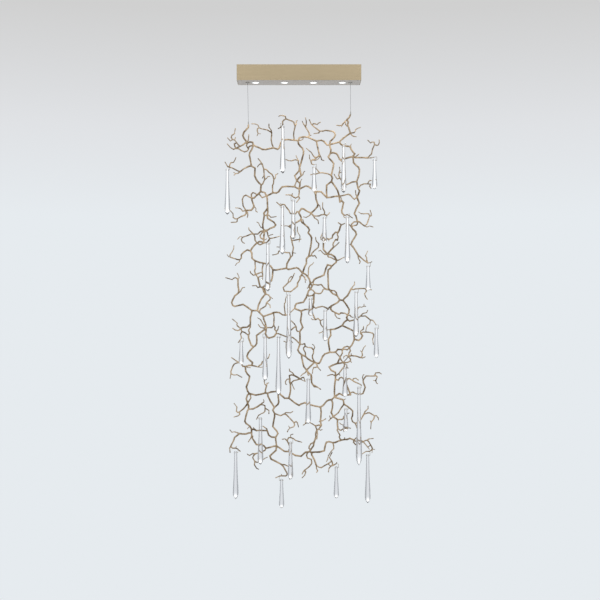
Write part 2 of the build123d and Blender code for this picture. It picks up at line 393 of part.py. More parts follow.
# upper, between the middle and the right
twig(upper_inner, STEM, STEM, 0, [(195, 827), (202, 815), (206, 800), (211, 789)])
twig(upper_inner, TWIG, TIP, -20, [(211, 789), (219, 787), (229, 783)])
twig(upper_inner, TWIG, TIP, 30, [(211, 789), (203, 782), (196, 776)])
twig(upper_inner, STEM, TWIG, 0, [(195, 827), (182, 827), (168, 842), (166, 855), (150, 862)])
twig(upper_inner, TWIG, TWIG, 0, [(195, 827), (191, 839), (196, 848), (192, 867)])
twig(upper_inner, TWIG, TWIG, 0, [(192, 867), (184, 862), (172, 879), (170, 888), (173, 901)])
twig(upper_inner, TWIG, TIP, 30, [(173, 901), (186, 891), (203, 874)])
twig(upper_inner, STEM, STEM, 0, [(173, 901), (162, 912), (147, 928), (142, 936)])
twig(upper_inner, TIP, TIP, 0, [(150, 862), (149, 872)])
twig(upper_inner, STEM, TWIG, 0, [(150, 862), (142, 857), (132, 856), (122, 867)])
twig(upper_inner, TWIG, TIP, 30, [(122, 867), (110, 861), (109, 850), (118, 830)])
twig(upper_inner, STEM, STEM, 0, [(122, 867), (122, 885), (122, 912), (142, 936)])
twig(upper_inner, TWIG, TIP, -30, [(142, 936), (130, 937), (121, 932), (107, 917), (97, 922)])
twig(upper_inner, STEM, STEM, 0, [(142, 936), (153, 938), (162, 937), (178, 947), (189, 965)])
twig(upper_inner, TWIG, TWIG, 0, [(142, 936), (147, 949), (160, 952), (177, 961), (189, 965)])
twig(upper_inner, TWIG, TIP, 25, [(189, 965), (198, 965), (213, 957), (228, 949)])
twig(upper_inner, STEM, STEM, 0, [(189, 965), (186, 976), (165, 994)])
twig(upper_inner, STEM, STEM, 0, [(165, 994), (157, 988), (143, 988), (135, 1007), (125, 1040),
     (107, 1048), (90, 1054), (75, 1063), (71, 1074)], upper_middle, 3)
twig(upper_inner, STEM, STEM, 0, [(165, 994), (158, 1005), (147, 1013), (145, 1030), (147, 1070),
     (148, 1103), (152, 1113)], upper_middle, 3)
# lower left
twig(lower_left, STEM, STEM, 0, [(-303, 1128), (-313, 1138), (-322, 1144), (-333, 1165),
     (-338, 1178), (-332, 1192), (-322, 1197), (-300, 1187), (-290, 1184), (-280, 1187),
     (-255, 1203), (-235, 1218)])
twig(lower_left, STEM, STEM, 20, [(-303, 1128), (-303, 1112), (-307, 1092), (-308, 1063)])
twig(lower_left, TWIG, TIP, 60, [(-308, 1063), (-313, 1056), (-322, 1052), (-332, 1056),
     (-338, 1062), (-374, 1051)])
twig(lower_left, TIP, TIP, 40, [(-308, 1063), (-302, 1052), (-307, 1040), (-314, 1027)])
twig(lower_left, TWIG, TIP, -30, [(-303, 1128), (-293, 1122), (-287, 1110), (-281, 1103), (-270, 1102)])
twig(upper_left, STEM, STEM, 0, [(-167, 1135), (-177, 1146), (-190, 1163), (-202, 1190),
     (-208, 1218)], lower_left, 2)
twig(lower_left, STEM, STEM, 0, [(-235, 1218), (-226, 1215), (-208, 1218)])
twig(lower_left, STEM, STEM, 0, [(-208, 1218), (-199, 1225), (-190, 1235), (-178, 1247)])
twig(upper_left, TWIG, TWIG, -20, [(-167, 1135), (-152, 1140), (-144, 1150), (-144, 1163),
     (-161, 1178)])
twig(upper_left, TWIG, TIP, -40, [(-161, 1178), (-153, 1183), (-144, 1190), (-142, 1205)])
twig(upper_left, TIP, TIP, -30, [(-144, 1150), (-131, 1158)])
twig(upper_left, TWIG, TWIG, 0, [(-161, 1178), (-165, 1194), (-178, 1203), (-192, 1211),
     (-199, 1225)], lower_left, 2)
twig(lower_left, STEM, STEM, 0, [(-178, 1247), (-157, 1240), (-140, 1234), (-127, 1228)])
twig(lower_left, STEM, TWIG, 0, [(-127, 1228), (-113, 1226), (-98, 1228), (-82, 1239), (-67, 1241)])
twig(lower_left, TWIG, TIP, -40, [(-67, 1241), (-70, 1225), (-73, 1197), (-72, 1183), (-67, 1175),
     (-67, 1162), (-62, 1146)])
twig(lower_left, TIP, TIP, 0, [(-67, 1241), (-58, 1239)])
twig(lower_left, STEM, STEM, 0, [(-178, 1247), (-176, 1260), (-168, 1280), (-163, 1303)])
twig(lower_left, TWIG, TIP, -40, [(-163, 1303), (-178, 1286), (-184, 1274), (-190, 1262), (-207, 1252)])
twig(lower_left, TWIG, TIP, 40, [(-163, 1303), (-178, 1305), (-193, 1302), (-205, 1288)])
twig(lower_left, STEM, STEM, 0, [(-163, 1303), (-172, 1312), (-198, 1332), (-212, 1342),
     (-210, 1358), (-211, 1382), (-217, 1392), (-226, 1398)])
twig(lower_left, TWIG, TWIG, 0, [(-163, 1303), (-150, 1302), (-142, 1307), (-135, 1303), (-126, 1290)])
twig(lower_left, TWIG, TWIG, 0, [(-126, 1290), (-125, 1275), (-124, 1250), (-127, 1228)])
twig(lower_left, TWIG, TWIG, 0, [(-126, 1290), (-119, 1302), (-121, 1313), (-112, 1321), (-114, 1332)])
twig(lower_left, TWIG, TIP, -20, [(-112, 1321), (-105, 1312), (-101, 1294)])
twig(lower_left, TWIG, TWIG, 30, [(-114, 1332), (-102, 1333), (-80, 1342), (-60, 1351)])
twig(lower_left, TIP, TIP, 50, [(-60, 1351), (-58, 1364), (-65, 1377), (-66, 1409)])
twig(lower_left, TIP, TIP, 50, [(-65, 1377), (-78, 1372)])
twig(lower_left, STEM, STEM, 0, [(-163, 1303), (-164, 1318), (-167, 1333), (-160, 1347),
     (-150, 1354), (-135, 1351), (-123, 1346), (-114, 1332)])
twig(lower_left, STEM, STEM, 0, [(-235, 1218), (-237, 1229), (-243, 1253), (-243, 1285)])
twig(lower_left, STEM, STEM, 0, [(-243, 1285), (-250, 1294), (-260, 1301), (-280, 1302), (-292, 1307)])
twig(lower_left, TWIG, TIP, 50, [(-292, 1307), (-310, 1295), (-313, 1288), (-310, 1282),
     (-330, 1267), (-340, 1260)])
twig(lower_left, TWIG, TIP, -30, [(-292, 1307), (-297, 1314), (-306, 1318), (-320, 1314), (-332, 1305)])
twig(lower_left, TWIG, TWIG, -20, [(-292, 1307), (-285, 1322)])
twig(lower_left, TWIG, TIP, -40, [(-285, 1322), (-291, 1335), (-286, 1354), (-303, 1378)])
twig(lower_left, TWIG, TWIG, 0, [(-285, 1322), (-270, 1327), (-252, 1342)])
twig(lower_left, TWIG, TWIG, 0, [(-243, 1285), (-243, 1300), (-252, 1315), (-247, 1330), (-252, 1342)])
twig(lower_left, STEM, STEM, 0, [(-252, 1342), (-252, 1355), (-243, 1382), (-238, 1391), (-226, 1398)])
twig(lower_left, STEM, STEM, 0, [(-226, 1398), (-245, 1418), (-254, 1430), (-260, 1445),
     (-256, 1456), (-243, 1469), (-232, 1477), (-236, 1492)])
twig(lower_left, STEM, STEM, 0, [(-236, 1492), (-250, 1492), (-268, 1498)])
twig(lower_left, TIP, TIP, -15, [(-268, 1498), (-255, 1502), (-241, 1502)])
twig(lower_left, TWIG, TWIG, 20, [(-236, 1492), (-222, 1495), (-205, 1500), (-198, 1493),
     (-188, 1487), (-184, 1475)])
twig(lower_left, TIP, TIP, 20, [(-205, 1500), (-190, 1503), (-181, 1501)])
twig(lower_left, TWIG, TIP, 40, [(-184, 1475), (-163, 1462), (-153, 1455), (-147, 1435)])
twig(lower_left, STEM, TWIG, 20, [(-268, 1498), (-281, 1497), (-291, 1485), (-302, 1479)])
twig(lower_left, TWIG, TIP, 60, [(-302, 1479), (-317, 1472), (-330, 1464), (-344, 1457)])
twig(lower_left, TWIG, TWIG, -20, [(-302, 1479), (-315, 1482), (-326, 1487), (-333, 1500),
     (-341, 1524)])
twig(lower_left, TWIG, TIP, -40, [(-341, 1524), (-335, 1536), (-325, 1539), (-308, 1537),
     (-296, 1543), (-282, 1550)])
twig(lower_left, TIP, TIP, -30, [(-341, 1524), (-341, 1541), (-344, 1558)])
twig(lower_left, STEM, STEM, 0, [(-268, 1498), (-267, 1520), (-258, 1535), (-247, 1547),
     (-251, 1568), (-264, 1600)], hem_left, 4)
# lower middle
twig(upper_middle, TWIG, TWIG, 0, [(44, 1131), (47, 1145), (57, 1144), (67, 1142), (76, 1133),
     (82, 1130)])
twig(upper_middle, STEM, STEM, 0, [(44, 1131), (36, 1153), (30, 1170), (22, 1176), (-3, 1180),
     (-13, 1183), (-19, 1194), (-21, 1206)], lower_middle, 0)
twig(lower_middle, TWIG, TIP, -30, [(-21, 1206), (-30, 1215), (-43, 1228)])
twig(lower_middle, STEM, STEM, 0, [(-21, 1206), (-12, 1212), (10, 1220)])
twig(lower_middle, STEM, STEM, 0, [(10, 1220), (30, 1213), (46, 1212), (63, 1221)])
twig(upper_middle, STEM, STEM, 0, [(76, 1133), (75, 1150), (74, 1175), (70, 1192)], lower_middle, 1)
twig(lower_middle, STEM, STEM, 0, [(70, 1192), (69, 1205), (63, 1221)])
twig(lower_middle, TIP, TIP, -20, [(70, 1192), (61, 1197)])
twig(lower_middle, TWIG, TWIG, 0, [(70, 1192), (77, 1202), (85, 1207), (93, 1202), (117, 1197),
     (130, 1201), (147, 1212), (152, 1202), (163, 1195)], lower_right, 3)
twig(lower_middle, STEM, TWIG, -20, [(63, 1221), (68, 1231), (77, 1255), (83, 1264)])
twig(lower_middle, TIP, TIP, -50, [(83, 1264), (67, 1263), (61, 1257)])
twig(lower_middle, TWIG, TWIG, -30, [(83, 1264), (95, 1257), (107, 1268)])
twig(lower_middle, TIP, TIP, -50, [(107, 1268), (121, 1262)])
twig(lower_middle, TWIG, TIP, -30, [(107, 1268), (107, 1280), (112, 1292), (126, 1308), (121, 1320),
     (112, 1327), (99, 1331)])
twig(lower_middle, STEM, STEM, 0, [(10, 1220), (13, 1235), (10, 1253), (8, 1274), (19, 1302),
     (10, 1317), (4, 1322)])
twig(lower_middle, TWIG, TWIG, -20, [(4, 1322), (-8, 1322), (-13, 1313), (-14, 1298)])
twig(lower_middle, TWIG, TIP, -60, [(-14, 1298), (-23, 1283), (-39, 1267)])
twig(lower_middle, TWIG, TWIG, 0, [(-14, 1298), (-24, 1301), (-42, 1317), (-46, 1335), (-40, 1350)])
twig(lower_middle, TIP, TIP, -30, [(-40, 1350), (-38, 1370), (-31, 1378)])
twig(lower_middle, STEM, STEM, 0, [(4, 1322), (5, 1345), (5, 1386)])
twig(lower_middle, TWIG, TWIG, 0, [(-40, 1350), (-30, 1353), (-13, 1367), (5, 1386)])
twig(lower_middle, STEM, STEM, 0, [(5, 1386), (-3, 1405), (-6, 1415), (2, 1429), (13, 1439)])
twig(lower_middle, TWIG, TWIG, 0, [(5, 1386), (16, 1387), (29, 1384), (31, 1397)])
twig(lower_middle, TWIG, TWIG, 0, [(31, 1397), (23, 1404), (23, 1413), (32, 1430), (33, 1449)])
twig(lower_middle, TWIG, TWIG, 0, [(31, 1397), (42, 1402), (63, 1405), (73, 1416), (73, 1430),
     (67, 1445), (68, 1458), (79, 1477)])
twig(lower_middle, TIP, TIP, -40, [(73, 1416), (79, 1402), (74, 1391), (65, 1385)])
twig(lower_middle, STEM, STEM, 0, [(13, 1439), (25, 1443), (33, 1449), (44, 1460), (63, 1472),
     (79, 1477)])
twig(lower_middle, STEM, STEM, 0, [(13, 1439), (14, 1455), (19, 1478), (24, 1499), (38, 1517)])
twig(lower_middle, STEM, STEM, 0, [(79, 1477), (74, 1485), (52, 1503), (38, 1517)])
twig(lower_middle, TWIG, TWIG, -20, [(79, 1477), (89, 1487), (92, 1498)])
twig(lower_middle, TWIG, TIP, -50, [(92, 1498), (99, 1506), (108, 1516)])
twig(lower_middle, TWIG, TIP, -30, [(92, 1498), (83, 1502), (74, 1502), (69, 1513), (67, 1533)])
twig(lower_middle, TWIG, TIP, -30, [(38, 1517), (32, 1529), (18, 1536), (7, 1547)])
twig(lower_middle, TWIG, TWIG, -10, [(38, 1517), (43, 1529), (46, 1544)])
twig(lower_middle, STEM, STEM, 0, [(38, 1517), (50, 1533), (62, 1542), (63, 1553), (63, 1578),
     (69, 1590)])
twig(lower_middle, TWIG, TWIG, 0, [(69, 1590), (76, 1587), (92, 1602)])
twig(lower_middle, TWIG, TWIG, 0, [(69, 1590), (77, 1601), (92, 1602)])
twig(lower_middle, TWIG, TIP, -20, [(92, 1602), (109, 1612)])
# lower right
twig(upper_middle, TWIG, TWIG, 0, [(152, 1113), (167, 1117), (178, 1118), (188, 1127), (192, 1142)])
twig(upper_middle, STEM, STEM, 0, [(152, 1113), (155, 1123), (160, 1132), (170, 1133), (192, 1142)])
twig(upper_middle, STEM, STEM, 0, [(192, 1142), (206, 1165)], lower_right, 0)
twig(lower_right, STEM, STEM, 0, [(206, 1165), (222, 1166)])
twig(lower_right, STEM, STEM, 0, [(222, 1166), (229, 1157), (245, 1143), (252, 1130), (263, 1109)])
twig(lower_right, TWIG, TIP, 40, [(263, 1109), (268, 1101), (281, 1087), (282, 1072)])
twig(lower_right, TWIG, TWIG, 20, [(263, 1109), (274, 1113), (285, 1109), (310, 1107), (335, 1107)])
twig(lower_right, TWIG, TIP, 40, [(335, 1107), (348, 1107), (357, 1112), (369, 1114)])
twig(lower_right, TWIG, TIP, -10, [(335, 1107), (340, 1120), (330, 1134), (335, 1150), (344, 1163)])
twig(lower_right, STEM, STEM, 0, [(206, 1165), (195, 1177), (180, 1186), (163, 1195)])
twig(lower_right, STEM, STEM, 0, [(163, 1195), (159, 1210), (168, 1221), (182, 1228)])
twig(lower_right, STEM, TWIG, 0, [(182, 1228), (190, 1231), (202, 1237), (212, 1230), (232, 1232),
     (246, 1241)])
twig(lower_right, TWIG, TIP, -30, [(182, 1228), (182, 1242), (192, 1255), (208, 1259)])
twig(lower_right, STEM, STEM, 0, [(222, 1166), (240, 1190), (253, 1212), (252, 1227), (246, 1241)])
twig(lower_right, TWIG, TIP, -20, [(246, 1241), (257, 1242), (263, 1250), (273, 1253)])
twig(lower_right, STEM, STEM, 0, [(246, 1241), (240, 1253), (245, 1264)])
twig(lower_right, STEM, TWIG, 20, [(245, 1264), (255, 1271), (277, 1266), (291, 1260)])
twig(lower_right, TWIG, TWIG, 40, [(291, 1260), (302, 1253), (311, 1247)])
twig(lower_right, TWIG, TWIG, 60, [(311, 1247), (337, 1246), (352, 1258), (362, 1266)])
twig(lower_right, TWIG, TIP, 40, [(362, 1266), (374, 1268), (381, 1277), (389, 1291)])
twig(lower_right, TWIG, TIP, 30, [(311, 1247), (324, 1233), (342, 1229), (348, 1215)])
twig(lower_right, TWIG, TIP, 0, [(291, 1260), (291, 1240), (293, 1215), (303, 1200), (318, 1201),
     (326, 1196)])
twig(lower_right, TIP, TIP, 0, [(326, 1196), (337, 1197)])
twig(lower_right, TIP, TIP, -20, [(326, 1196), (326, 1185)])
twig(lower_right, STEM, STEM, 0, [(245, 1264), (228, 1277), (217, 1294)])
twig(lower_right, STEM, STEM, 0, [(217, 1294), (232, 1300), (247, 1307), (273, 1320), (276, 1335),
     (278, 1362)])
twig(lower_right, STEM, STEM, 0, [(217, 1294), (197, 1305), (177, 1312), (158, 1314)])
twig(lower_right, TIP, TIP, -20, [(158, 1314), (143, 1315)])
twig(lower_right, STEM, STEM, 0, [(158, 1314), (163, 1333), (160, 1343), (148, 1363), (148, 1382),
     (153, 1410), (154, 1428)])
twig(lower_right, STEM, STEM, 20, [(278, 1362), (284, 1367), (300, 1368), (312, 1359), (320, 1345),
     (311, 1333)])
twig(lower_right, TWIG, TWIG, 40, [(311, 1333), (323, 1327), (337, 1327), (353, 1328), (370, 1332),
     (377, 1338)])
twig(lower_right, TWIG, TIP, 20, [(377, 1338), (376, 1350), (371, 1362), (374, 1391)])
twig(lower_right, TWIG, TIP, 0, [(311, 1333), (310, 1322), (324, 1311), (324, 1296)])
twig(lower_right, TIP, TIP, 0, [(362, 1266), (359, 1286), (346, 1294), (339, 1310), (337, 1327)])
twig(lower_right, STEM, STEM, 0, [(278, 1362), (270, 1382), (264, 1393), (253, 1404)])
twig(lower_right, TWIG, TWIG, 0, [(253, 1404), (243, 1397), (225, 1403), (217, 1414)])
twig(lower_right, TWIG, TWIG, 0, [(253, 1404), (242, 1415), (230, 1412), (217, 1414)])
twig(lower_right, STEM, STEM, 0, [(217, 1414), (205, 1410), (195, 1413), (183, 1427)])
twig(lower_right, STEM, STEM, 0, [(183, 1427), (168, 1428), (154, 1428)])
twig(lower_right, STEM, STEM, 0, [(154, 1428), (142, 1432), (130, 1436), (119, 1448), (108, 1473),
     (101, 1483), (90, 1483), (79, 1477)], lower_middle, 3)
twig(lower_right, TWIG, TWIG, 0, [(183, 1427), (193, 1438), (206, 1452)])
twig(lower_right, TWIG, TWIG, 0, [(217, 1414), (217, 1432), (206, 1452)])
twig(lower_right, STEM, TWIG, 0, [(206, 1452), (200, 1465), (192, 1483)])
twig(lower_right, TWIG, TWIG, 0, [(206, 1452), (211, 1465), (221, 1478)])
twig(lower_right, STEM, STEM, 0, [(192, 1483), (205, 1482), (221, 1478)])
twig(lower_right, STEM, STEM, 0, [(192, 1483), (170, 1491), (156, 1493), (151, 1501), (162, 1518),
     (182, 1527), (183, 1545)])
twig(lower_right, TWIG, TIP, -40, [(183, 1545), (167, 1537), (155, 1538), (139, 1543)])
twig(lower_right, TWIG, TWIG, 0, [(221, 1478), (228, 1486), (226, 1498), (207, 1522), (199, 1534),
     (183, 1545)])
twig(lower_right, TIP, TIP, 30, [(199, 1534), (206, 1544)])
twig(lower_right, TIP, TIP, 40, [(221, 1478), (238, 1490), (241, 1506), (250, 1508)])
twig(lower_right, TWIG, TWIG, 0, [(253, 1404), (258, 1420), (251, 1430), (248, 1448)])
twig(lower_right, TWIG, TIP, -30, [(248, 1448), (236, 1442), (224, 1447), (222, 1457)])
twig(lower_right, TWIG, TWIG, 0, [(248, 1448), (258, 1461), (257, 1470), (242, 1478), (221, 1478)])
twig(lower_right, TIP, TIP, 0, [(248, 1448), (238, 1460), (221, 1478)])
twig(lower_right, TIP, TIP, 20, [(257, 1470), (264, 1479)])
twig(lower_right, STEM, TWIG, 30, [(248, 1448), (262, 1444), (288, 1447), (310, 1455)])
twig(lower_right, TIP, TIP, 10, [(262, 1444), (262, 1432)])
twig(lower_right, TWIG, TIP, 50, [(310, 1455), (320, 1457), (336, 1451)])
twig(lower_right, TWIG, TIP, 70, [(310, 1455), (320, 1445), (318, 1427), (327, 1408), (338, 1396)])
twig(lower_right, TIP, TIP, 50, [(318, 1427), (309, 1421)])
twig(lower_right, STEM, STEM, 0, [(183, 1545), (182, 1562), (178, 1595)], hem_right, 1)
twig(lower_right, TWIG, TWIG, 0, [(182, 1562), (197, 1566), (203, 1555), (212, 1551), (222, 1557)])
twig(lower_right, STEM, STEM, 0, [(222, 1557), (229, 1571), (237, 1588)])
twig(lower_right, TWIG, TWIG, 0, [(237, 1588), (237, 1568), (243, 1558), (253, 1557), (268, 1567)])
twig(lower_right, TWIG, TIP, 30, [(268, 1567), (272, 1558), (284, 1556), (299, 1568)])
twig(lower_right, TWIG, TWIG, 0, [(268, 1567), (275, 1572), (296, 1581)])
twig(lower_right, TIP, TIP, 0, [(296, 1581), (303, 1586), (313, 1591)])
# hem left
twig(hem_left, STEM, STEM, 0, [(-264, 1600), (-267, 1607), (-257, 1622), (-249, 1633)])
twig(hem_left, STEM, STEM, 0, [(-249, 1633), (-240, 1631), (-225, 1639), (-217, 1642), (-190, 1637),
     (-169, 1632), (-158, 1633)], hem_middle, 3)
twig(hem_left, STEM, STEM, 0, [(-249, 1633), (-258, 1641), (-264, 1660), (-263, 1674), (-257, 1682)])
twig(hem_left, TWIG, TWIG, 0, [(-249, 1633), (-244, 1640), (-241, 1655), (-250, 1670), (-257, 1682)])
twig(hem_left, STEM, STEM, 0, [(-257, 1682), (-252, 1695), (-253, 1712)])
twig(hem_left, STEM, TWIG, 20, [(-257, 1682), (-268, 1698), (-278, 1710), (-300, 1728)])
twig(hem_left, TWIG, TIP, 60, [(-300, 1728), (-308, 1730), (-315, 1724), (-313, 1705), (-329, 1687)])
twig(hem_left, TWIG, TIP, -20, [(-300, 1728), (-297, 1738), (-304, 1744), (-325, 1748)])
twig(hem_left, STEM, STEM, 0, [(-253, 1712), (-230, 1711), (-208, 1700), (-193, 1690)])
twig(hem_left, TWIG, TIP, -40, [(-193, 1690), (-185, 1682), (-176, 1676), (-175, 1668), (-178, 1660)])
twig(hem_left, TWIG, TWIG, 20, [(-193, 1690), (-180, 1693), (-172, 1697), (-171, 1711)])
twig(hem_left, TWIG, TIP, 40, [(-171, 1711), (-160, 1719), (-152, 1724), (-153, 1743)])
twig(hem_left, TWIG, TIP, 0, [(-171, 1711), (-172, 1727), (-180, 1734), (-192, 1738), (-205, 1747),
     (-214, 1765)])
twig(hem_left, STEM, STEM, 0, [(-253, 1712), (-259, 1722), (-266, 1747), (-271, 1772), (-265, 1783),
     (-247, 1797), (-238, 1813)])
twig(hem_left, TIP, TIP, -20, [(-247, 1797), (-258, 1808)])
twig(hem_left, STEM, STEM, 0, [(-238, 1813), (-223, 1815), (-214, 1821), (-187, 1821),
     (-160, 1823)], hem_middle, 2)
twig(hem_left, TIP, TIP, -20, [(-223, 1815), (-228, 1801)])
twig(hem_left, STEM, STEM, 0, [(-238, 1813), (-238, 1830), (-237, 1842)])
twig(hem_left, STEM, STEM, 0, [(-237, 1842), (-233, 1860), (-220, 1885), (-214, 1891), (-187, 1893),
     (-177, 1898), (-166, 1911)], hem_middle, 3)
twig(hem_left, TIP, TIP, -15, [(-237, 1842), (-229, 1848)])
twig(hem_left, TWIG, TIP, -30, [(-237, 1842), (-241, 1855), (-253, 1873)])
twig(hem_left, STEM, STEM, 20, [(-238, 1830), (-253, 1832), (-267, 1837), (-283, 1837), (-298, 1835)])
twig(hem_left, TWIG, TIP, 50, [(-298, 1835), (-310, 1831), (-324, 1827), (-338, 1830), (-349, 1818)])
twig(hem_left, STEM, TWIG, 30, [(-298, 1835), (-317, 1846), (-323, 1854), (-328, 1870), (-343, 1900)])
twig(hem_left, TWIG, TIP, 50, [(-343, 1900), (-348, 1909), (-347, 1934)])
twig(hem_left, TWIG, TWIG, 10, [(-343, 1900), (-333, 1907), (-316, 1906)])
twig(hem_left, TWIG, TIP, 10, [(-316, 1906), (-308, 1910), (-293, 1924)])
twig(hem_left, TIP, TIP, 0, [(-316, 1906), (-313, 1895)])
# hem middle
twig(hem_middle, STEM, TWIG, 0, [(-169, 1632), (-168, 1615), (-163, 1595)])
twig(hem_middle, TWIG, TIP, -30, [(-163, 1595), (-171, 1586), (-174, 1565)])
twig(hem_middle, TWIG, TIP, 20, [(-163, 1595), (-160, 1583), (-151, 1582)])
twig(hem_middle, STEM, STEM, 0, [(-158, 1633), (-156, 1648), (-145, 1672), (-124, 1706)])
twig(hem_middle, STEM, STEM, 0, [(-158, 1633), (-140, 1627), (-117, 1625), (-103, 1627)])
twig(hem_middle, STEM, STEM, 0, [(-103, 1627), (-105, 1645), (-102, 1680), (-106, 1691), (-124, 1706)])
twig(hem_middle, STEM, STEM, 0, [(-103, 1627), (-95, 1632), (-92, 1642), (-72, 1660), (-52, 1660)])
twig(hem_middle, STEM, STEM, 0, [(-52, 1660), (-46, 1640), (-43, 1620), (-43, 1588)])
twig(hem_middle, STEM, STEM, 0, [(-43, 1588), (-47, 1576), (-46, 1562)])
twig(hem_middle, TWIG, TIP, -30, [(-46, 1562), (-60, 1562), (-68, 1573), (-67, 1585), (-61, 1588)])
twig(hem_middle, TWIG, TWIG, 0, [(-46, 1562), (-49, 1544), (-37, 1541), (-24, 1544)])
twig(hem_middle, TWIG, TIP, -50, [(-24, 1544), (-32, 1529), (-47, 1519), (-48, 1506)])
twig(hem_middle, STEM, STEM, 0, [(-24, 1544), (-8, 1553), (6, 1562)])
twig(hem_middle, TWIG, TWIG, 0, [(6, 1562), (-10, 1567), (-26, 1570), (-37, 1579), (-43, 1588)])
twig(hem_middle, TIP, TIP, 30, [(-37, 1579), (-32, 1597), (-23, 1619)])
twig(hem_middle, TWIG, TIP, -20, [(6, 1562), (15, 1555), (24, 1553), (31, 1573)])
twig(hem_middle, TIP, TIP, -20, [(6, 1562), (18, 1568), (31, 1573)])
twig(hem_middle, STEM, STEM, 0, [(-52, 1660), (-42, 1667), (-22, 1683), (0, 1696), (10, 1689),
     (30, 1682), (57, 1692), (77, 1697), (108, 1702)], hem_right, 5)
twig(hem_middle, STEM, STEM, 0, [(-124, 1706), (-132, 1719), (-131, 1730), (-123, 1737)])
twig(hem_middle, TWIG, TWIG, -20, [(-123, 1737), (-103, 1744), (-92, 1747), (-75, 1738)])
twig(hem_middle, TWIG, TIP, -50, [(-75, 1738), (-65, 1730), (-42, 1730), (-30, 1721)])
twig(hem_middle, TWIG, TWIG, -30, [(-75, 1738), (-63, 1742), (-43, 1762), (-25, 1781)])
twig(hem_middle, TWIG, TIP, -10, [(-25, 1781), (-15, 1775), (-8, 1782), (-2, 1806)])
twig(hem_middle, TWIG, TIP, -50, [(-25, 1781), (-22, 1792), (-27, 1800), (-45, 1806), (-53, 1814),
     (-59, 1826)])
twig(hem_middle, TIP, TIP, -30, [(-45, 1806), (-53, 1797)])
twig(hem_middle, STEM, STEM, 0, [(-123, 1737), (-123, 1752), (-129, 1782), (-132, 1803),
     (-113, 1825), (-106, 1838), (-118, 1857)])
twig(hem_middle, STEM, STEM, 0, [(-160, 1823), (-157, 1832), (-153, 1845), (-138, 1856), (-118, 1857)])
twig(hem_middle, TWIG, TIP, 20, [(-160, 1823), (-163, 1814), (-184, 1801)])
twig(hem_middle, STEM, STEM, 0, [(-118, 1857), (-117, 1872), (-113, 1901)])
twig(hem_middle, STEM, STEM, 0, [(-113, 1901), (-128, 1902), (-145, 1907), (-166, 1911)])
twig(hem_middle, TWIG, TWIG, 10, [(-166, 1911), (-172, 1922), (-183, 1926), (-202, 1934), (-219, 1938)])
twig(hem_middle, TWIG, TIP, 30, [(-219, 1938), (-233, 1938), (-250, 1948), (-262, 1940)])
twig(hem_middle, TWIG, TWIG, 10, [(-219, 1938), (-228, 1947), (-233, 1957), (-222, 1977)])
twig(hem_middle, TWIG, TIP, 40, [(-222, 1977), (-213, 1982), (-200, 1982), (-172, 1966), (-159, 1961)])
twig(hem_middle, TWIG, TIP, -20, [(-222, 1977), (-224, 1992), (-212, 2008), (-201, 2012)])
twig(hem_middle, STEM, STEM, 0, [(-113, 1901), (-102, 1902), (-97, 1911), (-73, 1928), (-52, 1928)])
twig(hem_middle, STEM, STEM, 0, [(-113, 1901), (-113, 1914), (-116, 1923), (-140, 1942),
     (-147, 1950), (-140, 1966), (-115, 1978), (-88, 1992)])
twig(hem_middle, TWIG, TIP, -30, [(-88, 1992), (-70, 1992), (-48, 2000), (-33, 1989)])
twig(hem_middle, STEM, TWIG, 0, [(-88, 1992), (-78, 2003), (-58, 2038)])
twig(hem_middle, TWIG, TIP, 30, [(-58, 2038), (-48, 2053), (-47, 2069)])
twig(hem_middle, TWIG, TWIG, -10, [(-58, 2038), (-66, 2047), (-87, 2046)])
twig(hem_middle, TWIG, TIP, -30, [(-87, 2046), (-97, 2046), (-118, 2053)])
twig(hem_middle, TIP, TIP, -20, [(-87, 2046), (-88, 2036)])
twig(hem_middle, STEM, TWIG, -20, [(-52, 1928), (-47, 1912), (-48, 1900), (-53, 1885), (-60, 1872)])
twig(hem_middle, TWIG, TIP, -50, [(-60, 1872), (-70, 1861), (-85, 1861)])
twig(hem_middle, TWIG, TWIG, -20, [(-60, 1872), (-52, 1857), (-42, 1856)])
twig(hem_middle, TWIG, TIP, 10, [(-42, 1856), (-28, 1862), (-17, 1872), (16, 1883)])
twig(hem_middle, TIP, TIP, -40, [(-42, 1856), (-43, 1842), (-29, 1836)])
twig(hem_middle, STEM, STEM, 0, [(-52, 1928), (-40, 1935), (-17, 1947), (0, 1952), (10, 1950),
     (32, 1930), (53, 1926)])
twig(hem_middle, TWIG, TWIG, -20, [(53, 1926), (42, 1932), (38, 1944), (42, 1956), (62, 1961)])
twig(hem_middle, TWIG, TWIG, -30, [(62, 1961), (64, 1980), (52, 1995), (27, 2014)])
twig(hem_middle, TWIG, TIP, -50, [(27, 2014), (21, 2020), (15, 2029)])
twig(hem_middle, TWIG, TIP, -20, [(27, 2014), (34, 2022), (28, 2038), (14, 2053)])
twig(hem_middle, STEM, STEM, 0, [(53, 1926), (63, 1930), (77, 1928), (102, 1927), (127, 1920),
     (129, 1905), (133, 1888), (138, 1877), (150, 1874), (169, 1879)], hem_right, 2)
twig(hem_middle, STEM, STEM, 0, [(63, 1930), (64, 1942), (77, 1965), (83, 1985), (87, 1994)])
twig(hem_middle, TWIG, TIP, -30, [(87, 1994), (87, 2006), (93, 2017), (86, 2024)])
twig(hem_middle, TWIG, TWIG, 20, [(87, 1994), (100, 2002), (112, 2005), (133, 1993), (146, 1987),
     (165, 1975)])
twig(hem_middle, TWIG, TIP, 40, [(165, 1975), (153, 1958), (157, 1951), (168, 1931)])
twig(hem_middle, TWIG, TWIG, 20, [(165, 1975), (169, 1988), (166, 1998)])
twig(hem_middle, TWIG, TIP, -10, [(166, 1998), (159, 1999), (150, 2009), (147, 2025)])
twig(hem_middle, TIP, TIP, 0, [(146, 1987), (153, 1994), (159, 1999)])
twig(hem_middle, TWIG, TIP, 20, [(166, 1998), (176, 1994), (187, 1988), (191, 1980)])
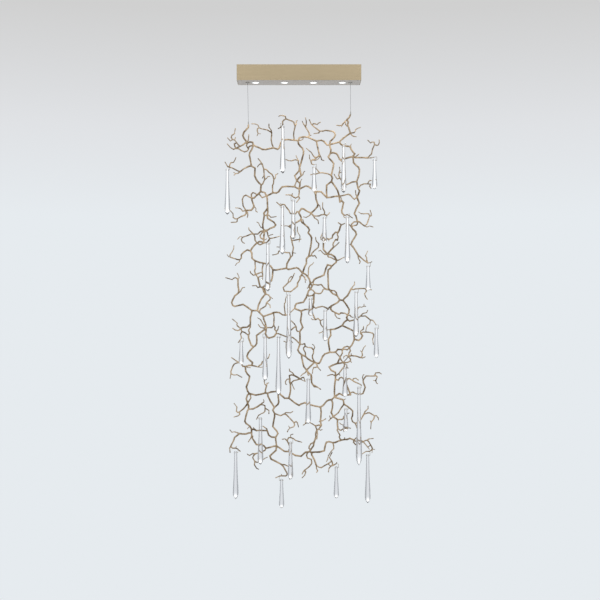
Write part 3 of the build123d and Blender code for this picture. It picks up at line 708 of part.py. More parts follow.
# hem right
twig(hem_right, STEM, STEM, 0, [(108, 1702), (117, 1702), (122, 1692), (138, 1672), (148, 1666),
     (163, 1663)])
twig(hem_right, STEM, STEM, 0, [(163, 1663), (170, 1657), (177, 1650)])
twig(hem_right, STEM, STEM, 0, [(178, 1595), (177, 1623), (177, 1650)])
twig(lower_right, STEM, STEM, 0, [(237, 1588), (243, 1603), (253, 1628), (257, 1637)], hem_right, 1)
twig(hem_right, STEM, STEM, 0, [(177, 1650), (187, 1642), (201, 1632), (220, 1640), (252, 1642),
     (257, 1637)])
twig(hem_right, STEM, STEM, 0, [(177, 1650), (187, 1654), (208, 1659), (221, 1663)])
twig(hem_right, STEM, STEM, 0, [(221, 1663), (224, 1673), (224, 1684)])
twig(hem_right, TIP, TIP, -20, [(221, 1663), (231, 1656)])
twig(hem_right, STEM, TWIG, 10, [(224, 1684), (232, 1689), (257, 1707), (268, 1719), (267, 1742),
     (262, 1755), (267, 1772), (282, 1782)])
twig(hem_right, TWIG, TIP, -10, [(282, 1782), (286, 1794), (289, 1807)])
twig(hem_right, TWIG, TWIG, 40, [(282, 1782), (290, 1777), (307, 1768), (326, 1739)])
twig(hem_right, TWIG, TIP, 60, [(326, 1739), (331, 1727), (348, 1712), (348, 1698)])
twig(hem_right, TWIG, TWIG, 30, [(326, 1739), (345, 1732), (355, 1732), (380, 1747)])
twig(hem_right, TWIG, TIP, 50, [(380, 1747), (390, 1747), (400, 1760), (402, 1773)])
twig(hem_right, TWIG, TIP, 10, [(380, 1747), (375, 1763), (362, 1778), (359, 1813)])
twig(hem_right, TIP, TIP, 30, [(362, 1778), (357, 1771)])
twig(hem_right, STEM, STEM, 0, [(163, 1663), (168, 1680), (167, 1703), (161, 1728), (171, 1748)])
twig(hem_right, TWIG, TWIG, 0, [(224, 1684), (208, 1707), (197, 1727), (189, 1734), (171, 1748)])
twig(hem_right, TWIG, TIP, -30, [(171, 1748), (157, 1758), (146, 1768)])
twig(hem_right, TIP, TIP, -30, [(157, 1758), (152, 1740)])
twig(hem_right, STEM, STEM, 0, [(171, 1748), (180, 1753), (192, 1762)])
twig(hem_right, TWIG, TWIG, 10, [(192, 1762), (215, 1762), (222, 1757), (224, 1747)])
twig(hem_right, TWIG, TIP, 40, [(224, 1747), (240, 1736), (254, 1731)])
twig(hem_right, STEM, STEM, 0, [(192, 1762), (192, 1785), (194, 1806)])
twig(hem_right, TWIG, TWIG, -10, [(194, 1806), (200, 1812), (209, 1815), (221, 1806)])
twig(hem_right, TWIG, TIP, 20, [(221, 1806), (227, 1802), (243, 1802), (260, 1808)])
twig(hem_right, TIP, TIP, -30, [(221, 1806), (223, 1820)])
twig(hem_right, TIP, TIP, -30, [(221, 1806), (220, 1786), (208, 1782), (201, 1774)])
twig(hem_right, STEM, STEM, 0, [(169, 1879), (182, 1877), (209, 1866), (228, 1862), (240, 1862),
     (254, 1856), (275, 1865)])
twig(hem_right, TWIG, TWIG, 0, [(194, 1806), (190, 1815), (205, 1840), (201, 1850), (209, 1866)])
twig(hem_right, TIP, TIP, -20, [(228, 1862), (227, 1849)])
twig(hem_right, TWIG, TIP, -20, [(275, 1865), (283, 1855), (289, 1845)])
twig(hem_right, TWIG, TWIG, 30, [(275, 1865), (285, 1873), (312, 1871), (323, 1878)])
twig(hem_right, TWIG, TWIG, 30, [(275, 1865), (273, 1877), (283, 1890), (300, 1890), (323, 1878)])
twig(hem_right, TWIG, TWIG, 40, [(323, 1878), (333, 1874), (343, 1872)])
twig(hem_right, TWIG, TIP, 60, [(343, 1872), (355, 1867), (378, 1867)])
twig(hem_right, TWIG, TWIG, 30, [(343, 1872), (352, 1880), (362, 1898)])
twig(hem_right, TWIG, TWIG, 30, [(362, 1898), (368, 1908), (371, 1918)])
twig(hem_right, TIP, TIP, 40, [(371, 1918), (384, 1922)])
twig(hem_right, TIP, TIP, 20, [(371, 1918), (368, 1937)])
twig(hem_right, TWIG, TIP, 0, [(371, 1918), (357, 1928), (345, 1927), (336, 1927), (316, 1938)])
twig(hem_right, TWIG, TIP, 20, [(323, 1878), (333, 1890), (347, 1907), (356, 1919)])
twig(hem_right, TIP, TIP, 0, [(347, 1907), (353, 1902), (362, 1898)])
twig(hem_right, TWIG, TIP, -20, [(169, 1879), (173, 1893), (174, 1908), (160, 1922), (147, 1942),
     (142, 1962), (136, 1972)])
twig(hem_right, STEM, STEM, 0, [(108, 1702), (111, 1725), (109, 1758), (107, 1772)])
twig(hem_right, TWIG, TIP, 20, [(107, 1772), (118, 1771), (136, 1761)])
twig(hem_right, TIP, TIP, 0, [(107, 1772), (99, 1776)])
twig(hem_right, STEM, STEM, 0, [(107, 1772), (108, 1783), (112, 1793)])
twig(hem_right, STEM, TWIG, 0, [(112, 1793), (102, 1793), (82, 1797)])
twig(hem_right, TWIG, TIP, 20, [(82, 1797), (68, 1789), (52, 1781), (33, 1789), (20, 1799)])
twig(hem_right, TIP, TIP, 20, [(33, 1789), (34, 1763)])
twig(hem_right, TWIG, TWIG, 0, [(82, 1797), (90, 1817)])
twig(hem_right, STEM, STEM, 0, [(112, 1793), (107, 1805), (100, 1813), (90, 1817)])
twig(hem_right, TIP, TIP, 20, [(100, 1813), (108, 1820), (118, 1816)])
twig(hem_right, STEM, STEM, 0, [(90, 1817), (84, 1835), (85, 1853), (76, 1878), (72, 1898),
     (58, 1917), (53, 1926)], hem_middle, 2)
twig(hem_right, TWIG, TIP, -20, [(90, 1817), (93, 1838), (89, 1862)])
twig(hem_middle, TWIG, TWIG, 0, [(76, 1878), (60, 1887), (51, 1900), (50, 1910), (58, 1917)])
twig(hem_right, TWIG, TWIG, 30, [(253, 1628), (269, 1624), (285, 1633), (303, 1638), (320, 1634)])
twig(hem_right, STEM, TWIG, 40, [(320, 1634), (328, 1615), (332, 1602), (323, 1580), (322, 1567),
     (337, 1547)])
twig(hem_right, TWIG, TWIG, 50, [(337, 1547), (365, 1548), (388, 1547)])
twig(hem_right, TWIG, TIP, 60, [(388, 1547), (395, 1553), (387, 1572), (391, 1584), (399, 1589)])
twig(hem_right, TIP, TIP, 50, [(387, 1572), (374, 1571)])
twig(hem_right, TWIG, TIP, 80, [(388, 1547), (383, 1541), (388, 1533), (408, 1533), (420, 1542)])
twig(hem_right, TIP, TIP, 20, [(322, 1567), (318, 1555), (322, 1540), (328, 1539)])


# glass drops: the bend each hangs from, depth of top and foot, how far in front it hangs, hook side
drops = [
    ((-359, 494), 506, 737, 11, 1),
    ((-80, 291), 303, 540, 41, -1),
    ((75, 491), 502, 627, 23, 1),
    ((220, 391), 402, 637, 77, 1),
    ((380, 444), 456, 608, 14, 1),
    ((-82, 687), 699, 940, 59, -1),
    ((-28, 651), 668, 865, 41, -1),
    ((-155, 868), 880, 1123, 71, 1),
    ((126, 741), 753, 885, 11, 1),
    ((240, 737), 750, 984, 50, 1),
    ((347, 978), 990, 1117, 17, 1),
    ((-50, 1123), 1135, 1455, 65, -1),
    ((-102, 1333), 1345, 1640, 14, 1),
    ((-286, 1354), 1366, 1485, 17, 1),
    ((-167, 1333), 1345, 1565, 41, -1),
    ((57, 1144), 1156, 1245, 35, 1),
    ((130, 1201), 1213, 1370, 68, 1),
    ((285, 1109), 1121, 1350, 53, 1),
    ((389, 1291), 1303, 1457, 14, 1),
    ((46, 1544), 1556, 1784, 29, 1),
    ((228, 1486), 1498, 1646, 47, 1),
    ((232, 1689), 1702, 1815, 32, 1),
    ((296, 1581), 1593, 1982, 44, 1),
    ((-316, 1906), 1920, 2158, 11, 1),
    ((-192, 1738), 1750, 1985, 56, -1),
    ((-42, 1856), 1868, 2055, 71, 1),
    ((-87, 2046), 2060, 2205, 11, -1),
    ((187, 1988), 2000, 2160, 11, 1),
    ((345, 1927), 1940, 2185, 11, 1),
]
hooked = {drop[0] for drop in drops}


# casting: bends closer than this many radii run together, and each length runs a little past its bend
CLOSE = 2.6
PAST = 0.55
SIX_SIDES = 1.06
TURN = 23


def thinned(run):
    """A run without the bends that sit too close together to cast; forks, hooks, ends and joints stay."""
    stops = list(run)
    i = 1
    while i < len(stops) - 1:
        point, radius, bend = stops[i]
        near = min((point - stops[i - 1][0]).length, (stops[i + 1][0] - point).length)
        kept = len(meets[bend]) > 1 or bend in hooked or None in (stops[i - 1][2], stops[i + 1][2])
        if near < CLOSE * radius and not kept:
            stops.pop(i)
        else:
            i += 1
    return stops


def lengths(runs):
    """Six-sided lengths of twig that run a little past each other at every bend, ready to be cast in one."""
    shapes = []
    turn = 0
    for run in [thinned(run) for run in runs]:
        for i, ((start, r0, first), (end, r1, second)) in enumerate(zip(run, run[1:])):
            along = (end - start).normalized()
            radius = SIX_SIDES * (r0 + r1) / 2
            runs_on = first is not None and (i > 0 or len(meets[first]) > 1)
            goes_on = second is not None and (i < len(run) - 2 or len(meets[second]) > 1)
            past0 = PAST * radius if runs_on else 0.0
            past1 = PAST * radius if goes_on else 0.0
            turn = (turn + TURN) % 60
            across = Vector(0, 1, 0) - along * along.Y
            with BuildPart() as length:
                with BuildSketch(Plane(origin=start - along * past0, x_dir=across, z_dir=along)):
                    RegularPolygon(radius, 6, rotation=turn)
                extrude(amount=(end - start).length + past0 + past1)
            shapes.append(length.part)
    return shapes


# pins that hold the butt joints between modules
PIN_SHARE = 0.45
PIN_LONG = 16
PIN_PART = 0.7
pins = []
for into, then, middle, span, radius in joints:
    with BuildPart() as pin:
        with BuildSketch(Plane(origin=middle, z_dir=span)):
            Circle(PIN_SHARE * radius)
        extrude(amount=min(PIN_LONG, PIN_PART * span.length) / 2, both=True)
    pins.append((into, then, pin.part))
with BuildPart() as joint_pins:
    add([pin for into, then, pin in pins])
export_step(joint_pins.part, "parts/joint_pins.step")

# wire hooks: out of the twig, sideways and forward, down past the drop's shoulder and through its eye
HOOK_WIRE = 1.6
HOOK_BEND = 2
HOOK_OUT = 11.5
HOOK_END = 10
EYE_DOWN = 7
EYE_HOLE = 2.4
hooks = []
for bend, top, foot, reach, side in drops:
    x, d = bend
    front = laid[bend] - reach
    eye_z = -top - EYE_DOWN
    with BuildPart() as hook:
        with BuildLine() as path:
            FilletPolyline((x, laid[bend], -d), (x + side * HOOK_OUT, front, -d),
                           (x + side * HOOK_OUT, front, eye_z), (x - side * HOOK_END, front, eye_z),
                           radius=HOOK_BEND)
        with BuildSketch(path.line ^ 0):
            Circle(HOOK_WIRE / 2)
        sweep()
    hooks.append((home[bend], hook.part))
with BuildPart() as drop_hooks:
    add([hook for module, hook in hooks])
export_step(drop_hooks.part, "parts/drop_hooks.step")

# hanging points: a ferrule in the tip of each long twig, with a wire up to a ball in the canopy
FERRULE_WIDE = 5
FERRULE_UP = 14
FERRULE_DOWN = 6
WIRE = 1.5
WIRE_X = 257
WIRE_IN = 10
BALL = 6
BALL_Z = -72
hangers = [(-WIRE_X, LEFT_TIP), (WIRE_X, RIGHT_TIP)]
with BuildPart() as suspension_wires:
    for x, (tip_x, tip_d) in hangers:
        ball = Vector(x, 0, BALL_Z)
        end = Vector(tip_x, 0, -tip_d + FERRULE_UP - WIRE_IN)
        with BuildSketch(Plane(origin=ball, z_dir=end - ball)):
            Circle(WIRE / 2)
        extrude(amount=(end - ball).length)
        with Locations(ball):
            Sphere(BALL / 2)
export_step(suspension_wires.part, "parts/suspension_wires.step")

with BuildPart() as ferrule_blanks:
    for x, (tip_x, tip_d) in hangers:
        with BuildSketch(Plane(origin=(tip_x, 0, -tip_d - FERRULE_DOWN))):
            Circle(FERRULE_WIDE / 2)
        extrude(amount=FERRULE_DOWN + FERRULE_UP)
with BuildPart() as wire_ferrules:
    add(ferrule_blanks.part)
    add(suspension_wires.part, mode=Mode.SUBTRACT)
export_step(wire_ferrules.part, "parts/wire_ferrules.step")

# the cast modules, with the holes for their pins, hooks and ferrules
modules = {
    "crown_left": crown_left,
    "crown_middle": crown_middle,
    "crown_right": crown_right,
    "upper_left": upper_left,
    "upper_middle": upper_middle,
    "upper_inner": upper_inner,
    "upper_right": upper_right,
    "lower_left": lower_left,
    "lower_middle": lower_middle,
    "lower_right": lower_right,
    "hem_left": hem_left,
    "hem_middle": hem_middle,
    "hem_right": hem_right,
}
for name, runs in modules.items():
    holes = [pin for into, then, pin in pins if runs is into or runs is then]
    holes += [hook for owner, hook in hooks if runs is owner]
    if runs is crown_left or runs is crown_right:
        holes.append(ferrule_blanks.part)
    with BuildPart() as module:
        add(lengths(runs))
        add(holes, mode=Mode.SUBTRACT)
    export_step(module.part, f"parts/{name}.step", write_pcurves=False)

# glass drops: a slim neck, a belly that widens with the length, and a pointed foot
NECK = 15.2
SHOULDER = 4
BELLY_LEAST = 23.6
BELLY_GROWS = 0.023
BELLY_MOST = 31
NECK_TO = 0.5
BELLY_FROM = 0.76
BELLY_AT = 0.87
FOOT_FROM = 0.95
for number, (bend, top, foot, reach, side) in enumerate(drops, 1):
    neck = NECK / 2
    long = foot - top
    belly = min(BELLY_MOST, BELLY_LEAST + BELLY_GROWS * long) / 2
    hang = Vector(bend[0], laid[bend] - reach, -top)
    with BuildPart() as glass:
        with BuildSketch(Plane(origin=hang, x_dir=(1, 0, 0), z_dir=(0, -1, 0))):
            with BuildLine():
                Line((0, 0), (neck - SHOULDER, 0))
                Bezier((neck - SHOULDER, 0), (neck, 0), (neck, -SHOULDER))
                Bezier((neck, -SHOULDER), (neck, -NECK_TO * long), (belly, -BELLY_FROM * long),
                       (belly, -BELLY_AT * long))
                Bezier((belly, -BELLY_AT * long), (belly, -FOOT_FROM * long), (0, -long))
                Line((0, -long), (0, 0))
            make_face()
        revolve(axis=Axis(hang, (0, 0, 1)))
        with Locations(hang - Vector(0, 0, EYE_DOWN)):
            Cylinder(EYE_HOLE / 2, 2 * NECK, rotation=(0, 90, 0), mode=Mode.SUBTRACT)
    export_step(glass.part, f"parts/drop_{number:02d}.step")

# canopy: a long shallow box against the ceiling, closed below by a plate that screws to a ledge
CANOPY_LONG = 616
CANOPY_DEEP = 120
CANOPY_HIGH = 78
WALL = 2
LEDGE = 10
SLIDE_FIT = 0.5
INNER_LONG = CANOPY_LONG - 2 * WALL
INNER_DEEP = CANOPY_DEEP - 2 * WALL
BOTTOM_Z = -CANOPY_HIGH
PLATE_TOP = BOTTOM_Z + WALL
SMALL_SCREW = 3
END_SCREW = 4
END_SCREW_Y = 15
END_SCREW_Z = -14
SCREW_IN = 16
plate_screws = [(x, y) for x in (-INNER_LONG / 2 + SCREW_IN, 0, INNER_LONG / 2 - SCREW_IN)
                for y in (-INNER_DEEP / 2 + LEDGE / 2, INNER_DEEP / 2 - LEDGE / 2)]

# ceiling plate with end tabs, slots for two ceiling screws and a hole for the supply cable
PLATE = 2.5
PLATE_DEEP = 70
TAB_DEEP = 50
TAB_HIGH = 22
SLOT_X = 240
SLOT_LONG = 16
SLOT_WIDE = 6
SUPPLY_X = -70
SUPPLY_HOLE = 20
DRIVER_X = 110
DRIVER_LONG = 160
DRIVER_DEEP = 44
DRIVER_HIGH = 28
EAR = 12
EAR_DEEP = 30
BLOCK_X = -140
ear_screws = [DRIVER_X - DRIVER_LONG / 2 - EAR / 2, DRIVER_X + DRIVER_LONG / 2 + EAR / 2]
with BuildPart() as ceiling_plate:
    with BuildSketch():
        Rectangle(INNER_LONG, PLATE_DEEP)
        with Locations((-SLOT_X, 0), (SLOT_X, 0)):
            SlotOverall(SLOT_LONG, SLOT_WIDE, mode=Mode.SUBTRACT)
        with Locations((SUPPLY_X, 0)):
            Circle(SUPPLY_HOLE / 2, mode=Mode.SUBTRACT)
        with Locations(*[(x, 0) for x in ear_screws + [BLOCK_X]]):
            Circle(SMALL_SCREW / 2, mode=Mode.SUBTRACT)
    extrude(amount=-PLATE)
    with BuildSketch(Plane.XY.offset(-PLATE)):
        with Locations((-INNER_LONG / 2 + WALL / 2, 0), (INNER_LONG / 2 - WALL / 2, 0)):
            Rectangle(WALL, TAB_DEEP)
    extrude(amount=-TAB_HIGH)
    with BuildSketch(Plane.YZ):
        with Locations((-END_SCREW_Y, END_SCREW_Z), (END_SCREW_Y, END_SCREW_Z)):
            Circle(END_SCREW / 2)
    extrude(amount=CANOPY_LONG, both=True, mode=Mode.SUBTRACT)
export_step(ceiling_plate.part, "parts/ceiling_plate.step")

# rubber grommet for the supply cable
GROMMET_RIM = 24
GROMMET_BORE = 9
GROMMET_THICK = 2.5
with BuildPart() as supply_grommet:
    with BuildSketch(Plane(origin=(SUPPLY_X, 0, -PLATE))):
        Circle(SUPPLY_HOLE / 2)
    extrude(amount=PLATE)
    with BuildSketch(Plane(origin=(SUPPLY_X, 0, -PLATE))):
        Circle(GROMMET_RIM / 2)
    extrude(amount=-GROMMET_THICK)
    with BuildSketch(Plane(origin=(SUPPLY_X, 0, 0))):
        Circle(GROMMET_BORE / 2)
    extrude(amount=-PLATE - GROMMET_THICK, mode=Mode.SUBTRACT)
export_step(supply_grommet.part, "parts/supply_grommet.step")

# folded shell with a ledge inside its lower rim
CORNER = 1.2
with BuildPart() as canopy_shell:
    with BuildSketch():
        RectangleRounded(CANOPY_LONG, CANOPY_DEEP, CORNER)
        Rectangle(INNER_LONG, INNER_DEEP, mode=Mode.SUBTRACT)
    extrude(amount=-CANOPY_HIGH)
    with BuildSketch(Plane.XY.offset(PLATE_TOP)):
        Rectangle(INNER_LONG, INNER_DEEP)
        Rectangle(INNER_LONG - 2 * LEDGE, INNER_DEEP - 2 * LEDGE, mode=Mode.SUBTRACT)
        with Locations(*plate_screws):
            Circle(SMALL_SCREW / 2, mode=Mode.SUBTRACT)
    extrude(amount=WALL)
    with BuildSketch(Plane.YZ):
        with Locations((-END_SCREW_Y, END_SCREW_Z), (END_SCREW_Y, END_SCREW_Z)):
            Circle(END_SCREW / 2)
    extrude(amount=CANOPY_LONG, both=True, mode=Mode.SUBTRACT)
export_step(canopy_shell.part, "parts/canopy_shell.step")

# bottom plate with four spot holes, two grip holes and countersunk screw holes
SPOT_PITCH = 144.5
SPOT_HOLE = 38
GRIP_BODY = 14
SCREW_HEAD = 6
HEAD_DEEP = 1.5
spots = [(i - 1.5) * SPOT_PITCH for i in range(4)]
with BuildPart() as bottom_plate:
    with BuildSketch(Plane.XY.offset(BOTTOM_Z)):
        Rectangle(INNER_LONG - 2 * SLIDE_FIT, INNER_DEEP - 2 * SLIDE_FIT)
        with Locations(*[(x, 0) for x in spots]):
            Circle(SPOT_HOLE / 2, mode=Mode.SUBTRACT)
        with Locations((-WIRE_X, 0), (WIRE_X, 0)):
            Circle(GRIP_BODY / 2, mode=Mode.SUBTRACT)
        with Locations(*plate_screws):
            Circle(SMALL_SCREW / 2, mode=Mode.SUBTRACT)
    extrude(amount=WALL)
    with Locations(*[(x, y, BOTTOM_Z + HEAD_DEEP / 2) for x, y in plate_screws]):
        Cone(SCREW_HEAD / 2, SMALL_SCREW / 2, HEAD_DEEP, mode=Mode.SUBTRACT)
export_step(bottom_plate.part, "parts/bottom_plate.step")

# screws: dome heads on the canopy's ends, countersunk ones below, pan heads inside
DOME = 7.6
DOME_HIGH = 2.2
DOME_SLOPE = 28
SOCKET = 3.2
SOCKET_DEEP = 1.2
END_SCREW_LONG = 7
SCREW_UP = 8
PAN = 5.6
PAN_HIGH = 1.8
BLOCK_HIGH = 16
EAR_THICK = 2
CROSS_WIDE = 0.7
CROSS_LONG = 3.6
CROSS_DEEP = 0.9
inner_screws = [(x, -PLATE - EAR_THICK) for x in ear_screws] + [(BLOCK_X, -PLATE - BLOCK_HIGH)]
with BuildPart() as canopy_screws:
    for end in (-1, 1):
        for y in (-END_SCREW_Y, END_SCREW_Y):
            outer = Plane(origin=(end * CANOPY_LONG / 2, y, END_SCREW_Z), x_dir=(0, 1, 0), z_dir=(end, 0, 0))
            with BuildSketch(outer):
                Circle(END_SCREW / 2)
            extrude(amount=-END_SCREW_LONG)
            with BuildSketch(outer):
                Circle(DOME / 2)
            extrude(amount=DOME_HIGH, taper=DOME_SLOPE)
            with BuildSketch(outer.offset(DOME_HIGH)):
                RegularPolygon(SOCKET / 2, 6)
            extrude(amount=-SOCKET_DEEP, mode=Mode.SUBTRACT)
    for x, y in plate_screws:
        with Locations((x, y, BOTTOM_Z + HEAD_DEEP / 2)):
            Cone(SCREW_HEAD / 2, SMALL_SCREW / 2, HEAD_DEEP)
        with BuildSketch(Plane(origin=(x, y, BOTTOM_Z + HEAD_DEEP))):
            Circle(SMALL_SCREW / 2)
        extrude(amount=SCREW_UP - HEAD_DEEP)
        with BuildSketch(Plane(origin=(x, y, BOTTOM_Z))):
            Rectangle(CROSS_LONG, CROSS_WIDE)
            Rectangle(CROSS_WIDE, CROSS_LONG)
        extrude(amount=CROSS_DEEP, mode=Mode.SUBTRACT)
    for x, z in inner_screws:
        with BuildSketch(Plane(origin=(x, 0, z))):
            Circle(PAN / 2)
        extrude(amount=-PAN_HIGH)
        with BuildSketch(Plane(origin=(x, 0, z))):
            Circle(SMALL_SCREW / 2)
        extrude(amount=-z)
export_step(canopy_screws.part, "parts/canopy_screws.step")

# spot bezels: a lip below the plate, a sleeve up through it and a ring that holds the lens
LIP = 45
LIP_THICK = 1.5
LIP_EDGE = 0.5
SLEEVE = 1.5
SLEEVE_TOP = -66
FRONT = 31
RING_THICK = 2
ENGINE = SPOT_HOLE - 2 * SLEEVE
LIP_Z = BOTTOM_Z - LIP_THICK
with BuildPart() as spot_bezels:
    for x in spots:
        with BuildSketch(Plane(origin=(x, 0, LIP_Z))):
            Circle(LIP / 2)
        extrude(amount=LIP_THICK)
        with BuildSketch(Plane(origin=(x, 0, BOTTOM_Z))):
            Circle(SPOT_HOLE / 2)
        extrude(amount=SLEEVE_TOP - BOTTOM_Z)
        with BuildSketch(Plane(origin=(x, 0, LIP_Z + RING_THICK))):
            Circle(ENGINE / 2)
        extrude(amount=SLEEVE_TOP - LIP_Z, mode=Mode.SUBTRACT)
        with BuildSketch(Plane(origin=(x, 0, LIP_Z))):
            Circle(FRONT / 2)
        extrude(amount=2 * RING_THICK, mode=Mode.SUBTRACT)
    chamfer(spot_bezels.edges().filter_by(GeomType.CIRCLE).group_by(Axis.Z)[0], LIP_EDGE)
export_step(spot_bezels.part, "parts/spot_bezels.step")

# frosted lenses that lie on the bezel's ring
LENS_THICK = 2.5
with BuildPart() as spot_lenses:
    for x in spots:
        with BuildSketch(Plane(origin=(x, 0, LIP_Z + RING_THICK))):
            Circle(ENGINE / 2)
        extrude(amount=LENS_THICK)
export_step(spot_lenses.part, "parts/spot_lenses.step")

# light engines: a round board with its emitter below
BOARD_THICK = 3
EMITTER = 14
EMITTER_THICK = 1.5
with BuildPart() as led_modules:
    for x in spots:
        with BuildSketch(Plane(origin=(x, 0, SLEEVE_TOP))):
            Circle(ENGINE / 2)
        extrude(amount=-BOARD_THICK)
        with BuildSketch(Plane(origin=(x, 0, SLEEVE_TOP - BOARD_THICK))):
            Circle(EMITTER / 2)
        extrude(amount=-EMITTER_THICK)
export_step(led_modules.part, "parts/led_modules.step")

# finned heat sinks on top of the sleeves
SINK_BASE = 4
SINK_CORE = 16
FINS = 5
FIN = 37
FIN_THICK = 1.5
FIN_PITCH = 5
with BuildPart() as heat_sinks:
    for x in spots:
        with BuildSketch(Plane(origin=(x, 0, SLEEVE_TOP))):
            Circle(SPOT_HOLE / 2)
        extrude(amount=SINK_BASE)
        with BuildSketch(Plane(origin=(x, 0, SLEEVE_TOP))):
            Circle(SINK_CORE / 2)
        extrude(amount=SINK_BASE + FINS * FIN_PITCH)
        for fin in range(FINS):
            with BuildSketch(Plane(origin=(x, 0, SLEEVE_TOP + SINK_BASE + (fin + 1) * FIN_PITCH))):
                Circle(FIN / 2)
            extrude(amount=-FIN_THICK)
export_step(heat_sinks.part, "parts/heat_sinks.step")

# spring clips, two to a spot, that press down on the bottom plate
CLIP_WIDE = 8
CLIP_THICK = 0.8
CLIP_REACH = 10
CLIP_FOOT = 1.5
CLIP_OFF = 1
CLIP_ROOT = 2
CLIP_TOP = SLEEVE_TOP - 0.5 * CLIP_THICK
with BuildPart() as spring_clips:
    for x in spots:
        for side in (-1, 1):
            root = SPOT_HOLE / 2
            with BuildSketch(Plane(origin=(x, 0, 0), x_dir=(0, side, 0), z_dir=(side, 0, 0))):
                with BuildLine():
                    Polyline((root, PLATE_TOP + CLIP_OFF), (root + CLIP_THICK, PLATE_TOP + CLIP_OFF),
                             (root + CLIP_THICK, CLIP_TOP - CLIP_ROOT), (root + CLIP_REACH, PLATE_TOP),
                             (root + CLIP_REACH + CLIP_FOOT, PLATE_TOP), (root + CLIP_THICK, CLIP_TOP),
                             (root, CLIP_TOP), close=True)
                make_face()
            extrude(amount=CLIP_WIDE / 2, both=True)
export_step(spring_clips.part, "parts/spring_clips.step")

# driver with two ears, screwed under the ceiling plate
DRIVER_CORNER = 3
DRIVER_EDGE = 2
with BuildPart() as led_driver:
    with BuildSketch(Plane(origin=(DRIVER_X, 0, -PLATE))):
        RectangleRounded(DRIVER_LONG, DRIVER_DEEP, DRIVER_CORNER)
    extrude(amount=-DRIVER_HIGH)
    fillet(led_driver.faces().sort_by(Axis.Z)[0].edges(), DRIVER_EDGE)
    with BuildSketch(Plane(origin=(DRIVER_X, 0, -PLATE))):
        Rectangle(DRIVER_LONG + 2 * EAR, EAR_DEEP)
    extrude(amount=-EAR_THICK)
    with BuildSketch(Plane.XY.offset(-PLATE)):
        with Locations(*[(x, 0) for x in ear_screws]):
            Circle(SMALL_SCREW / 2)
    extrude(amount=-EAR_THICK, mode=Mode.SUBTRACT)
export_step(led_driver.part, "parts/led_driver.step")

# three-way terminal block beside the supply entry
BLOCK_LONG = 36
BLOCK_DEEP = 18
WAYS = 3
WAY_HOLE = 5
WAY_DEEP = 6
with BuildPart() as terminal_block:
    with BuildSketch(Plane(origin=(BLOCK_X, 0, -PLATE))):
        Rectangle(BLOCK_LONG, BLOCK_DEEP)
        Circle(SMALL_SCREW / 2, mode=Mode.SUBTRACT)
    extrude(amount=-BLOCK_HIGH)
    face = (BLOCK_X, -BLOCK_DEEP / 2, -PLATE - BLOCK_HIGH / 2)
    with BuildSketch(Plane(origin=face, x_dir=(1, 0, 0), z_dir=(0, 1, 0))):
        with GridLocations(BLOCK_LONG / WAYS, 1, WAYS, 1):
            Circle(WAY_HOLE / 2)
    extrude(amount=WAY_DEEP, mode=Mode.SUBTRACT)
export_step(terminal_block.part, "parts/terminal_block.step")

# cable grips: a flange below the plate, a body up through it and a seat for the ball of the wire
GRIP_FLANGE = 20
FLANGE_THICK = 3
GRIP_TOP = -60
BALL_FIT = 0.3
NECK_HOLE = 2.8
FLARE = 4.4
FLANGE_EDGE = 0.6
FLANGE_Z = BOTTOM_Z - FLANGE_THICK
with BuildPart() as cable_grips:
    for x in (-WIRE_X, WIRE_X):
        with BuildSketch(Plane(origin=(x, 0, FLANGE_Z))):
            Circle(GRIP_FLANGE / 2)
        extrude(amount=FLANGE_THICK)
        with BuildSketch(Plane(origin=(x, 0, BOTTOM_Z))):
            Circle(GRIP_BODY / 2)
        extrude(amount=GRIP_TOP - BOTTOM_Z)
        with Locations((x, 0, BALL_Z)):
            Sphere(BALL / 2 + BALL_FIT, mode=Mode.SUBTRACT)
        with BuildSketch(Plane(origin=(x, 0, BALL_Z))):
            Circle(BALL / 2 + BALL_FIT)
        extrude(amount=GRIP_TOP - BALL_Z, mode=Mode.SUBTRACT)
        neck_z = BALL_Z - BALL / 2
        with Locations((x, 0, (neck_z + FLANGE_Z) / 2)):
            Cone(FLARE / 2, NECK_HOLE / 2, neck_z - FLANGE_Z, mode=Mode.SUBTRACT)
    rims = cable_grips.edges().filter_by(GeomType.CIRCLE).group_by(Axis.Z)[0]
    chamfer(rims.sort_by(SortBy.RADIUS)[-2:], FLANGE_EDGE)
export_step(cable_grips.part, "parts/cable_grips.step")

# hexagon nuts that clamp the grips to the plate
NUT_ACROSS = 19
NUT_HIGH = 5
with BuildPart() as grip_nuts:
    for x in (-WIRE_X, WIRE_X):
        with BuildSketch(Plane(origin=(x, 0, PLATE_TOP))):
            RegularPolygon(NUT_ACROSS / 2, 6, major_radius=False)
            Circle(GRIP_BODY / 2, mode=Mode.SUBTRACT)
        extrude(amount=NUT_HIGH)
export_step(grip_nuts.part, "parts/grip_nuts.step")
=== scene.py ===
"""Branch chandelier: a champagne canopy with four spots, two wires, a net of twigs and clear glass drops."""
import math

